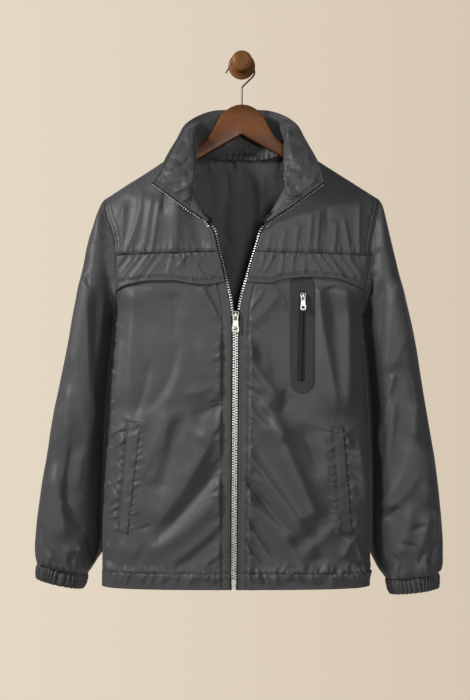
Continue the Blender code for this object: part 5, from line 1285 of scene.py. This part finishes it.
# %% Welts
welt_grids = {}
for side, label in SIDES:
    corners = np.array(WELTS[side]) / 1000
    t, k = np.meshgrid(np.linspace(0, 1, 72), np.linspace(0, 1, 14), indexing="ij")
    outer = corners[0] + (corners[1] - corners[0]) * t[..., None]
    inner = corners[2] + (corners[3] - corners[2]) * t[..., None]
    flat = inner + (outer - inner) * k[..., None]
    run, wide = t * 178, k * 21  # mm
    inner_row, outer_row = WELT_STITCHES
    height = 1.6 + 0.7 * np.sin(k * math.pi)
    height -= 0.55 * groove(wide, inner_row, 1.1) + 0.5 * groove(wide, outer_row, 1.1)
    height -= 0.5 * sum(groove(run, at, 1.2) for at in WELT_END_STITCHES)
    spacing, turn, high = (13, -35, 2.3) if side < 0 else (21, 8, 0.9)
    height += folded(wide, -run, puckers(601 + side, (0, 0), (0, -178), spacing, 22, turn, high, 3.6))
    height += 0.3 * crumple(wide, run, 12, 611 + side)
    height[:, 0] = height[0] = height[-1] = 0.5
    # The left pocket's mouth stands open a little.
    height[:, -1] = 0.5 if side < 0 else 2.6
    height[:, -2] += 0.0 if side < 0 else 0.9
    points = eased(laid_on(trees[side], flat[..., 0], flat[..., 1], height), 1)
    outward = grid_normals(points, FRONT_OUT)
    welt_grids[side] = (points, outward, run, wide)
    # Painted shade in the grooves of the two long rows of stitching.
    welt = cloth_sheet(f"welt_{label}_cloth", points, outward, SHELL, 0.0010, crest=proudness(height),
                       painted_shade=3 * groove(wide, inner_row, 1.3) + 3 * groove(wide, outer_row, 1.3))
    declare(welt, "folded", [f"front_{label}_cloth"], f"welt_{label}")

# %% Chest pocket
PATCH_X, PATCH_HALF, PATCH_TOP, PATCH_LOW = 0.0973, 0.0206, -0.3590, -0.5549
SLOT_X, SLOT_HALF, SLOT_TOP, SLOT_LOW, SLOT_LEAN = PATCH_X + 0.0017, 0.0055, -0.3890, -0.5345, -0.0030
COIL_PITCH = 1.6  # mm
low_round, high_round = PATCH_LOW + PATCH_HALF, PATCH_TOP - PATCH_HALF
down = np.concatenate([PATCH_TOP - PATCH_HALF * (1 - np.cos(np.linspace(0.1, 1.5, 14))),
                       np.linspace(PATCH_TOP - 0.0200, low_round, 60),
                       low_round - PATCH_HALF * np.sin(np.linspace(0.12, 1.5, 14))])
past_round = np.clip(np.maximum(low_round - down, down - high_round), 0, None)
half = PATCH_HALF * np.sqrt(np.clip(1 - (past_round / PATCH_HALF) ** 2, 0.004, 1))
k = np.linspace(-1, 1, 27)
px, pz = PATCH_X + half[:, None] * k, np.broadcast_to(down[:, None], (len(down), 27))
slot_x = SLOT_X + SLOT_LEAN * (SLOT_TOP - pz) / (SLOT_TOP - SLOT_LOW)
in_slot = soft_step((SLOT_HALF + 0.0012 - np.abs(px - slot_x)) / 0.0016)
in_slot = in_slot * soft_step((SLOT_TOP + 0.001 - pz) / 0.0015) * soft_step((pz - SLOT_LOW + 0.001) / 0.0015)
height = 0.9 + 0.15 * crumple(px * 1000, pz * 1000, 20, 621) - 0.6 * in_slot
height[:, 0] = height[:, -1] = height[-1] = height[0] = 0.15
points = laid_on(trees[1], px, pz, height)
patch = cloth_sheet("chest_patch_cloth", points, grid_normals(points, FRONT_OUT), BONDED, 0.0007)
declare(patch, "laid", ["front_left_cloth"], "chest_patch")
patch_tree = tree_of(patch)

t, k = np.meshgrid(np.linspace(0, 1, 90), np.linspace(-1, 1, 19), indexing="ij")
tz = SLOT_TOP + (SLOT_LOW - SLOT_TOP) * t
tx = SLOT_X + SLOT_LEAN * t + SLOT_HALF * k
coil = np.exp(-(k / 0.36) ** 2) * (1 + 0.06 * np.sin(t * 146 * 2 * math.pi / COIL_PITCH))
height = 0.55 + 0.95 * coil - 0.85 * np.exp(-((np.abs(k) - 0.60) / 0.13) ** 2)
points = laid_on(patch_tree, tx, tz, height)
slot_tape = cloth_sheet("chest_zip_cloth", points, grid_normals(points, FRONT_OUT), WOVEN_TAPE, 0.0006)
declare(slot_tape, "stretched", ["chest_patch_cloth"], "chest_zip_tape", "chest_zip_coil")

# %% [markdown]
# ## The zip
# A woven tape is sewn under each front edge, and the teeth are clamped on its free edge, 4.2 mm apart. Below the
# slider the two rows mesh; above it each row follows its own edge, turns over with the facing and runs up the
# collar to a stop at its tip. One tooth is modelled from a cube, and copies stand along the edge's line.

# %% The line of each front edge
def facing_back(way):
    """The way at a length of one, turned so that it points towards the wall."""
    return unit(way) * (1 if way[1] > 0 else -1)


def edge_frames(side):
    """Places along the edge from hem to collar tip, with the ways along it, away from the cloth and out of it."""
    spots, faces_out = [], []
    v = np.array([14, 13.5, 13, 12.5, 12, 11.5, 11, 10.5, 10, 9.6, 9.3, 9, 8.7, 8.3, 8, 7.6, 7.2, 6.8, 6.5, 6.25])
    around = np.stack([front(side, np.zeros(20), v), front(side, np.full(20, 0.02), v)])
    for i, place in enumerate(v):
        above, below = front(side, np.zeros(2), np.array([place - 0.05, min(place + 0.05, HEM_ROW)]))
        along_edge = above - below
        own = -facing_back(np.cross(around[1, i] - around[0, i], along_edge))
        turn = min(1.0, max(0.0, (FACING_END + 0.8 - place) / 0.8))
        n = unit(own * (1 - turn) + np.array([side, 0, 0]) * turn)
        spots.append(around[0, i] - n * CLOTH / 2)
        faces_out.append(n)
    for k in (2.6, 2.2, 1.7, 1.2, 0.6, 0.2):
        here = facing(side, np.array([1.0, 0.95, 1.0]), np.array([k, k, k + 0.05]))
        n = facing_back(np.cross(here[1] - here[0], here[2] - here[0]))
        n = unit(n + np.array([side, 0, 0]) * max(0.0, 1 - (3 - k) / 0.8))
        spots.append(here[0] - n * FACING_CLOTH / 2)
        faces_out.append(n)
    for h in (0.1, 0.25, 0.4, 0.55, 0.7, 0.85, 1.0):
        here = collar(side, np.array([0.0, 0.06]), np.array([h - 0.02, h]))
        n = facing_back(np.cross(here[1, 1] - here[1, 0], here[1, 0] - here[0, 0]))
        spots.append(here[1, 0] - n * COLLAR_CLOTH / 2)
        faces_out.append(n)
    spots, faces_out = np.array(spots), np.array(faces_out)
    run = run_along(spots)
    line, out = through(spots, run), through(faces_out, run)
    fine = np.linspace(0, run[-1], 1400)
    place = line(fine)
    along = unit(np.gradient(place, axis=0))
    n = unit(out(fine))
    away = unit(np.cross(along, n)) * -side
    n = unit(np.cross(away, along)) * -side
    return fine, place, along, away, n


def at_run(frames, run):
    """Place, way along, way away from the cloth and way out of it, at distances from the hem."""
    fine, *parts = frames
    return [read_off(run, fine, part) for part in parts]


edges = {side: edge_frames(side) for side, _ in SIDES}
print("edge lines, mm:", {side: round(float(edges[side][0][-1]) * 1000) for side in edges})

# %% Zip tapes
PITCH = 0.0042
SLIDER_LOW, SLIDER_TOP, ZIP_STOP_TOP = -0.4345, -0.4205, -0.8635  # z
for side, label in SIDES:
    frames = edges[side]
    place, along, away, n = at_run(frames, np.linspace(0.0, frames[0][-1], 420))
    across = np.array([-0.0085, -0.0058, -0.0032, -0.0013, 0.0, 0.0010, 0.0018, 0.0031])
    opened = np.clip((place[:, 2] - SLIDER_TOP) / 0.02, 0, 1)
    across = across[None, :] - opened[:, None] * 0.0011 * (across > 0.001)[None, :]
    under = 0.0021 * soft_step((0.0004 - across) / 0.0022) * np.clip(-n[:, 1:2] * 3, -1, 1)
    points = place[:, None] + away[:, None] * across[..., None] + n[:, None] * (0.00035 - under)[..., None]
    tape = cloth_sheet(f"zip_tape_{label}_cloth", points, np.broadcast_to(n[:, None], points.shape), WOVEN_TAPE, 0.0009)
    declare(tape, "stretched", [f"front_{label}_cloth"], f"zip_tape_{label}")

# %% Finishes of the metal and the wood
def metal_look(name, colour, rough, brushed):
    """A metal with fine grain, drawn out by brushed, and a cloudy polish."""
    look, shader = new_look(name, colour, rough, 1.0)
    n = Nodes(look)
    grain = n.noise(n.place(scale=brushed), 300.0, 3.0, 0.6)
    cloudy = n.noise(n.place(), 140.0, 2.0)
    n.join(n.ramp(cloudy, (0.25, tint(colour, 0.80)), (0.75, tint(colour, 1.10))), shader.inputs["Base Color"])
    n.join(n.spread(n.sum(grain, cloudy, "MULTIPLY"), rough - 0.06, rough + 0.22), shader.inputs["Roughness"])
    n.join(n.bump(grain, 0.00003, 0.5), shader.inputs["Normal"])
    return look


def wood_look(name, colour, rough, along, rings):
    """Varnished wood, its bands and fibres drawn out by along."""
    look, shader = new_look(name, colour, rough)
    shader.inputs["Coat Weight"].default_value = 0.10
    shader.inputs["Specular IOR Level"].default_value = 0.2
    shader.inputs["Coat Roughness"].default_value = 0.22
    n = Nodes(look)
    place = n.place(scale=along)
    bands = n.wave(place, rings, "DIAGONAL", twist=5.0)
    fibre = n.noise(place, 60.0, 5.0, 0.65, 0.4)
    drift = n.noise(n.place(), 9.0, 2.0)
    figure = n.sum(n.sum(bands, 0.45, "MULTIPLY"), n.sum(fibre, 0.75, "MULTIPLY"))
    figure = n.sum(n.sum(figure, n.sum(drift, 0.25, "MULTIPLY")), 0.75, "MULTIPLY")
    stain = n.ramp(figure, (0.18, tint(colour, 0.45)), (0.50, colour), (0.85, tint(colour, 1.55)))
    n.join(stain, shader.inputs["Base Color"])
    n.join(n.spread(fibre, rough - 0.07, rough + 0.12), shader.inputs["Roughness"])
    n.join(n.bump(fibre, 0.00012, 0.45), shader.inputs["Normal"])
    return look


NICKEL = metal_look("satin_nickel", (0.95, 0.91, 0.84), 0.46, (0.3, 1, 3))
RECESS = metal_look("nickel_in_shade", (0.06, 0.058, 0.055), 0.60, (0.3, 1, 3))
STEEL = metal_look("hook_steel_wire", (0.16, 0.15, 0.14), 0.42, (1, 1, 0.2))
WOOD = wood_look("hanger_wood_varnished", (0.150, 0.052, 0.014), 0.40, (1.0, 6.0, 7.0), 1.4)
PEG_WOOD = wood_look("turned_peg_wood", (0.215, 0.085, 0.024), 0.46, (7.0, 1.0, 7.0), 1.6)
print("metal and wood ready")


# %% Small tools for hard pieces
def start_clean():
    """Object mode, with nothing selected."""
    if bpy.context.mode != "OBJECT":
        bpy.ops.object.mode_set(mode="OBJECT")
    bpy.ops.object.select_all(action="DESELECT")


def select_where(obj, kind, test):
    """Selects only the faces, edges or points that pass the test, in edit mode."""
    bpy.ops.mesh.select_mode(type={"verts": "VERT", "edges": "EDGE", "faces": "FACE"}[kind])
    bpy.ops.mesh.select_all(action="DESELECT")
    mesh = bmesh.from_edit_mesh(obj.data)
    for item in getattr(mesh, kind):
        item.select = bool(test(item))
    mesh.select_flush_mode()
    bmesh.update_edit_mesh(obj.data)


def settled(obj, look, angle=35):
    """Ends a hard piece: back to object mode, its place in its mesh, faces outwards, its finish on."""
    bpy.ops.object.mode_set(mode="EDIT")
    bpy.ops.mesh.select_all(action="SELECT")
    bpy.ops.mesh.remove_doubles(threshold=0.000005)
    bpy.ops.mesh.normals_make_consistent(inside=False)
    bpy.ops.object.mode_set(mode="OBJECT")
    bpy.ops.object.transform_apply(location=True, rotation=True, scale=True)
    bpy.ops.object.shade_smooth_by_angle(angle=math.radians(angle))
    obj.data.materials.clear()
    obj.data.materials.append(look)
    return obj


def taken_out(obj):
    """The points and faces of a piece that is only a pattern, and the piece away from the scene."""
    bpy.ops.object.mode_set(mode="OBJECT")
    points = np.array([v.co for v in obj.data.vertices])
    faces = [list(face.vertices) for face in obj.data.polygons]
    bpy.data.objects.remove(obj, do_unlink=True)
    return points, faces


# %% One tooth
start_clean()
bpy.ops.mesh.primitive_cube_add(size=1, location=(0, 0, 0), scale=(0.0016, 0.0029, 0.0024))
tooth = bpy.context.object
tooth.name = "one_tooth"
bpy.ops.object.transform_apply(location=False, rotation=False, scale=True)
bpy.ops.object.mode_set(mode="EDIT")
for step, across, thick in ((0.0012, 0.62, 0.80), (0.0011, 1.50, 1.15), (0.0009, 0.80, 0.85)):
    far = max(v.co.x for v in bmesh.from_edit_mesh(tooth.data).verts)
    select_where(tooth, "faces", lambda f: f.calc_center_median().x > far - 1e-6)
    bpy.ops.mesh.extrude_region_move(TRANSFORM_OT_translate={"value": (step, 0, 0)})
    bpy.ops.transform.resize(value=(1, across, thick))
select_where(tooth, "edges", lambda e: abs(e.verts[0].co.x - e.verts[1].co.x) > 1e-5)
bpy.ops.mesh.bevel(offset=0.00035, segments=1)
tooth_points, tooth_faces = taken_out(tooth)
tooth_long = (tooth_points[:, 0].max() - tooth_points[:, 0].min()) * 1000
print("one tooth:", len(tooth_faces), "faces,", round(tooth_long, 2), "mm long")


# %% Rows of teeth
def copies(name, shape, faces, frames, look, smooth=False):
    """One mesh with a copy of the shape at every frame: (place, x axis, y axis, z axis) arrays."""
    place, ax, ay, az = frames
    axes = np.stack([ax, ay, az], 1)
    points = (shape @ axes) + place[:, None]
    count = len(shape)
    all_faces = [[v + count * k for v in face] for k in range(len(place)) for face in faces]
    return make_mesh(name, points.reshape(-1, 3), all_faces, look, smooth)


for side, label in SIDES:
    frames = edges[side]
    start = 0.0050 + (PITCH / 2 if side > 0 else 0)
    run = np.arange(start, frames[0][-1] - 0.0015, PITCH)
    place, along, away, n = at_run(frames, run)
    z = place[:, 2]
    meshed = (z < SLIDER_LOW)[:, None]
    keep = ((z < SLIDER_LOW) | (z > SLIDER_TOP)) & (z > ZIP_STOP_TOP)
    reach = np.where(meshed, 0.0030, 0.0014)
    # Up the open edges the zip rolls back behind the cloth's edge, so its teeth are seen almost on end.
    rolled = 0.62 * soft_step((z[:, None] + 0.405) / 0.05)
    away = away * np.cos(rolled) + np.array([0.0, 1.0, 0.0]) * np.sin(rolled)
    away = unit(away - along * (away * along).sum(-1, keepdims=True))
    n = np.cross(away, along) * np.sign((np.cross(away, along) * n).sum(-1, keepdims=True))
    centre = place + away * reach
    size = np.where(meshed, 1.0, 0.82)
    teeth = copies(f"zip_teeth_{label}_row", tooth_points, tooth_faces,
                   (centre[keep], (away * size)[keep], (along * size)[keep], (n * size)[keep]), NICKEL)
    attached(teeth, BODY, "nickel", f"zip_teeth_{label}")
    print(teeth.name, int(keep.sum()), "teeth,", len(teeth.data.polygons), "faces")

# %% [markdown]
# ## Stitching
# Every seam and hem is topstitched with polyester thread in the cloth's colour, about eight stitches in 25 mm: one
# row beside each yoke seam, two rows on the flaps and round the armholes, one 14 mm from the zip, one on the hem,
# and rows on the collar, the facings and the welts. The thread's finish is painted much darker than the cloth, as
# painted shade along the stitch rows. Each stitch is a short flattened strand that dips at both ends.

# %% One stitch
start_clean()
bpy.ops.mesh.primitive_cylinder_add(vertices=6, radius=0.00030, depth=0.0012, location=(0, 0, 0),
                                    rotation=(0, math.pi / 2, 0))
strand = bpy.context.object
bpy.ops.object.transform_apply(location=False, rotation=True, scale=False)
bpy.ops.object.mode_set(mode="EDIT")
for way in (-1, 1):
    select_where(strand, "faces", lambda f, way=way: f.calc_center_median().x * way > 0.00059)
    bpy.ops.mesh.extrude_region_move(TRANSFORM_OT_translate={"value": (way * 0.0006, 0, -0.00016)})
    bpy.ops.transform.resize(value=(1, 0.45, 0.45))
bpy.ops.mesh.select_all(action="SELECT")
bpy.ops.transform.resize(value=(1, 1, 0.72), center_override=(0, 0, 0))
strand_points, strand_faces = taken_out(strand)
print("one stitch:", len(strand_faces), "faces")


# %% Rows of stitches
def where_it_is(points, normals, field, at, along="rows", keep=None):
    """The line on a sheet's face where a field of distances has a value, one place for each row or column."""
    if along == "columns":
        points, normals, field = points.swapaxes(0, 1), normals.swapaxes(0, 1), field.T
        keep = None if keep is None else keep.T
    spots, outs = [], []
    for k, (p, n, f) in enumerate(zip(points, normals, field)):
        found = np.nonzero((f[:-1] - at) * (f[1:] - at) <= 0)[0]
        if len(found) and (keep is None or keep[k, found[0]]):
            i = found[0]
            t = (at - f[i]) / (f[i + 1] - f[i] + 1e-12)
            spots.append(p[i] + (p[i + 1] - p[i]) * t)
            outs.append(n[i])
    return np.array(spots), np.array(outs)


def stitched(name, lines, pitch=0.0031):
    """One mesh of stitches along several lines, each given as places and the way out of the cloth at each."""
    parts = [[], [], [], []]
    for spots, outs in lines:
        if len(spots) < 4:
            continue
        run = run_along(spots)
        at = np.arange(pitch, run[-1] - pitch / 2, pitch)
        place, ahead = read_off(at, run, spots), read_off(at + 0.0008, run, spots)
        out = unit(read_off(at, run, outs))
        along = unit(ahead - place + 1e-12)
        across = unit(np.cross(out, along))
        out = unit(np.cross(along, across))
        for part, values in zip(parts, (place + out * 0.00012, along, across, out)):
            part.append(values)
    rows = copies(name, strand_points, strand_faces, [np.concatenate(part) for part in parts], THREAD, True)
    attached(rows, BODY, "softshell_trim")
    print(name, len(np.concatenate(parts[0])), "stitches")


# %% Stitches of every seam
for side, label in SIDES:
    *face, armhole, below_seam = seams["yoke", side]
    stitched(f"stitches_yoke_{label}", [
        *(where_it_is(*face, below_seam, at, "columns") for at in (-2.6, -6.0)),
        *(where_it_is(*face, armhole, at) for at in (SEAM_STITCH, 4.5))])
    *face, edge, seam, z, v = seams["front", side]
    stitched(f"stitches_front_{label}", [
        where_it_is(*face, edge, ZIP_STITCH), where_it_is(*face, edge, 3.2, keep=z < -432),
        where_it_is(*face, z, HEM_STITCH, "columns"), where_it_is(*face, seam, SEAM_STITCH, keep=v < 9.2)])
    *face, from_free = seams["flap", side]
    stitched(f"stitches_flap_{label}", [where_it_is(*face, from_free, at, "columns") for at in FLAP_STITCHES])
    *face, run, wide = welt_grids[side]
    stitched(f"stitches_welt_{label}", [
        *(where_it_is(*face, wide, at) for at in WELT_STITCHES),
        *(where_it_is(*face, run, at, "columns") for at in WELT_END_STITCHES)])
    points, normals, from_edge = facing_grids[side]
    stitched(f"stitches_facing_{label}", [where_it_is(points, -normals, from_edge, 4.5)])
points, normals, from_top, from_front = collar_grid
inner = points - normals * COLLAR_CLOTH
stitched("stitches_collar", [
    *(where_it_is(inner, -normals, from_top, at, "columns") for at in (5.2, 2.0)),
    *(where_it_is(inner[:, half], -normals[:, half], from_front[:, half], at)
      for half in (slice(0, 60), slice(-60, None)) for at in (4.5, 8.0))])
points, normals, z, side_seam, v_all = seams["back"]
middle = points.shape[1] // 2
beside_arm = (v_all > 0.6) & (v_all < BACK_ARMPIT)
stitched("stitches_back", [
    where_it_is(points, normals, z, HEM_STITCH, "columns"),
    *(where_it_is(points[:, half], normals[:, half], side_seam[:, half], SEAM_STITCH, keep=beside_arm[:, half])
      for half in (slice(0, middle), slice(middle, None)))])

# %% [markdown]
# ## Hanger, hook and peg
# The hanger is two arms of beech, glued on the centre line, stained and varnished; the grain runs out along the
# arms. A wire hook turns in its top and hangs on a turned wooden peg. Each arm is drawn out from its centre face.

# %% Hanger
WOOD_THICK, WOOD_Y = 0.0120, -0.0454
HANGER_OUTLINE = [  # distance out from the centre line, upper edge, lower edge
    (0.0, -0.0743, -0.1242), (0.0090, -0.0752, -0.1292), (0.0174, -0.0783, -0.1339), (0.0268, -0.0838, -0.1392),
    (0.0336, -0.0905, -0.1430), (0.0398, -0.1010, -0.1465), (0.0443, -0.1105, -0.1490), (0.0510, -0.1222, -0.1527),
    (0.0560, -0.1290, -0.1555), (0.0633, -0.1365, -0.1596), (0.0714, -0.1432, -0.1641), (0.0800, -0.1486, -0.1689),
    (0.1000, -0.1560, -0.1799), (0.1300, -0.1742, -0.1965), (0.1650, -0.1960, -0.2156), (0.1900, -0.2119, -0.2290),
    (0.2010, -0.2190, -0.2335), (0.2050, -0.2235, -0.2325),
]


def drawn_arm(name, outline, y, thick, look):
    """Half a hanger, extruded step by step from its centre face; outline rows are x, upper z, lower z."""
    start_clean()
    first = outline[0]
    bpy.ops.mesh.primitive_cube_add(size=1, location=(first[0] + 0.0005, y, (first[1] + first[2]) / 2),
                                    scale=(0.001, thick, first[1] - first[2]))
    arm = bpy.context.object
    arm.name = name
    bpy.ops.object.transform_apply(location=True, rotation=False, scale=True)
    bpy.ops.object.mode_set(mode="EDIT")
    x, high, low = first[0] + 0.001, first[1], first[2]
    for nx, nhigh, nlow in outline[1:]:
        select_where(arm, "faces", lambda f: f.calc_center_median().x > x - 1e-6)
        step = (nx - x, 0, (nhigh + nlow - high - low) / 2)
        bpy.ops.mesh.extrude_region_move(TRANSFORM_OT_translate={"value": step})
        bpy.ops.transform.resize(value=(1, 1, (nhigh - nlow) / (high - low)))
        x, high, low = nx, nhigh, nlow
    select_where(arm, "faces", lambda f: f.calc_center_median().x < first[0] + 1e-6)
    bpy.ops.mesh.delete(type="FACE")
    select_where(arm, "edges", lambda e: e.calc_face_angle(0) > 0.9)
    bpy.ops.mesh.bevel(offset=0.0026, segments=4, profile=0.5)
    bpy.ops.object.mode_set(mode="OBJECT")
    mirror = arm.modifiers.new("other_arm", "MIRROR")
    mirror.merge_threshold = 0.00003
    bpy.ops.object.modifier_apply(modifier=mirror.name)
    return settled(arm, look, 40)


hanger = drawn_arm("hanger_wood", HANGER_OUTLINE, WOOD_Y, WOOD_THICK, WOOD)
attached(hanger, BODY, "hanger_wood", "hanger_left", "hanger_right")
print("hanger:", len(hanger.data.polygons), "faces")

# %% [markdown]
# ## Sliders and pulls
# Both sliders are die-cast: a shield-shaped plate with a raised rim, and on it an arched bridge that holds the
# pull. The pull is a punched tab, waisted in the middle, with a window where it hangs on the bridge and a slot for
# a cord near its end. The plate, the bridge and the tab each start as a block at its real place.


# %% One slider and its pull
def block_to_shape(name, middle, extent):
    """A block at its real place, in edit mode."""
    start_clean()
    bpy.ops.mesh.primitive_cube_add(size=1, location=middle, scale=extent)
    block = bpy.context.object
    block.name = name
    bpy.ops.object.transform_apply(location=True, rotation=False, scale=True)
    bpy.ops.object.mode_set(mode="EDIT")
    return block


def cut_across(axis, at):
    """Cuts the whole piece in edit mode by a plane across an axis."""
    way = [float(k == axis) for k in range(3)]
    bpy.ops.mesh.select_all(action="SELECT")
    bpy.ops.mesh.bisect(plane_co=[w * at for w in way], plane_no=way)


def holed(piece, inside):
    """Takes out the faces inside a window, front and back, and joins the two rims."""
    select_where(piece, "faces", inside)
    bpy.ops.mesh.delete(type="FACE")
    select_where(piece, "edges", lambda e: e.is_boundary)
    bpy.ops.mesh.bridge_edge_loops()


def softened_edges(piece, offset, segments, test=lambda e: True):
    """Bevels the sharp edges that pass the test."""
    select_where(piece, "edges", lambda e: e.calc_face_angle(0) > 0.6 and test(e))
    bpy.ops.mesh.bevel(offset=offset, segments=segments, profile=0.5)


def slider_plate(name, x, y_face, z_top, mm):
    """The plate with its raised rim and the bridge on it; mm is larger or smaller for another size of slider."""
    plate = block_to_shape(name, (x, y_face + 1.0 * mm, z_top - 6.5 * mm), (9.2 * mm, 2.0 * mm, 13 * mm))
    cut_across(2, z_top - 3.2 * mm)
    for z, wider in ((z_top - 3.2 * mm, 1.30), (z_top - 13 * mm, 0.94)):
        select_where(plate, "verts", lambda v, z=z: abs(v.co.z - z) < 1e-5)
        bpy.ops.transform.resize(value=(wider, 1, 1), center_override=(x, y_face, z))
    select_where(plate, "faces", lambda f: f.normal.y < -0.9)
    bpy.ops.mesh.inset(thickness=1.0 * mm)
    bpy.ops.mesh.extrude_region_move(TRANSFORM_OT_translate={"value": (0, 0.4 * mm, 0)})
    softened_edges(plate, 0.35 * mm, 2)
    settled(plate, NICKEL)
    bridge = block_to_shape(name + "_bridge", (x, y_face - 1.75 * mm, z_top - 6.0 * mm),
                            (2.6 * mm, 4.9 * mm, 7.6 * mm))
    select_where(bridge, "faces", lambda f: abs(f.normal.x) > 0.9)
    bpy.ops.mesh.inset(thickness=1.15 * mm)
    holed(bridge, lambda f: abs(f.normal.x) > 0.9 and max(v.co.z for v in f.verts) < z_top - 2.5 * mm
          and min(v.co.z for v in f.verts) > z_top - 9.5 * mm and f.calc_area() < 18e-6 * (mm / 0.001) ** 2)
    softened_edges(bridge, 1.0 * mm, 4, lambda e: max(v.co.y for v in e.verts) < y_face - 4.0 * mm
                   and abs(e.verts[0].co.z - e.verts[1].co.z) < 1e-6)
    softened_edges(bridge, 0.25 * mm, 2)
    settled(bridge, NICKEL)
    start_clean()
    plate.select_set(True)
    bridge.select_set(True)
    bpy.context.view_layer.objects.active = plate
    bpy.ops.object.join()
    plate.data.materials.append(RECESS)
    for face in plate.data.polygons:
        if abs(face.center.y - y_face - 0.4 * mm) < 0.05 * mm and face.normal.y < -0.9:
            face.material_index = len(plate.data.materials) - 1
    return plate


PULL_WIDTHS = ((0.8, 3.4), (-0.8, 4.0), (-2.2, 4.3), (-8.8, 4.1), (-10.5, 4.0), (-15.0, 4.7), (-21.2, 5.7),
               (-25.2, 5.8), (-26.4, 5.7), (-28.5, 4.5))  # height below the bridge's pin, half width, in mm


def pull_tab(name, x, y, z, mm):
    """The tab with its window and its slot, hanging from a pin at x, y, z."""
    high, low = PULL_WIDTHS[0][0], PULL_WIDTHS[-1][0]
    tab = block_to_shape(name, (x, y, z + (high + low) / 2 * mm), (2 * mm, 1.6 * mm, (high - low) * mm))
    for at, _ in PULL_WIDTHS[1:-1]:
        cut_across(2, z + at * mm)
    for at, half in PULL_WIDTHS:
        select_where(tab, "verts", lambda v, at=at: abs(v.co.z - z - at * mm) < 1e-5)
        bpy.ops.transform.resize(value=(half, 1, 1), center_override=(x, y, z))
    for half in (-3.0, -2.2, 2.2, 3.0):
        cut_across(0, x + half * mm)
    for half, above, below in ((2.2, -0.8, -8.8), (3.0, -21.2, -25.2)):
        holed(tab, lambda f, half=half, above=above, below=below: abs(f.normal.y) > 0.9
              and abs(f.calc_center_median().x - x) < half * mm
              and z + below * mm < f.calc_center_median().z < z + above * mm)
    softened_edges(tab, 0.4 * mm, 2)
    return settled(tab, NICKEL)


# %% The main and the chest slider
for name, x, y_face, z_top, mm in (("main", -0.0108, -0.110404, -0.4212, 0.001),
                                   ("chest", 0.0989, -0.11078, -0.3912, 0.00082)):
    slider = slider_plate(f"{name}_slider_metal", x, y_face, z_top, mm)
    tab = pull_tab(f"{name}_pull_metal", x, y_face - 1.6 * mm, z_top - 6.0 * mm, mm)
    for piece, body, stands_for in ((slider, BODY, f"{name}_slider"), (tab, f"{name}_pull", f"{name}_pull")):
        attached(piece, body, "nickel", stands_for)
        print(piece.name, len(piece.data.polygons), "faces on", body)

# %% Carried-over pieces get their finishes
for name, look in (("hook_wire", STEEL), ("wall_peg", PEG_WOOD), ("zip_stop", NICKEL)):
    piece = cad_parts[name]
    piece.data.materials.clear()
    piece.data.materials.append(look)
print("finishes on the pieces kept as they are")
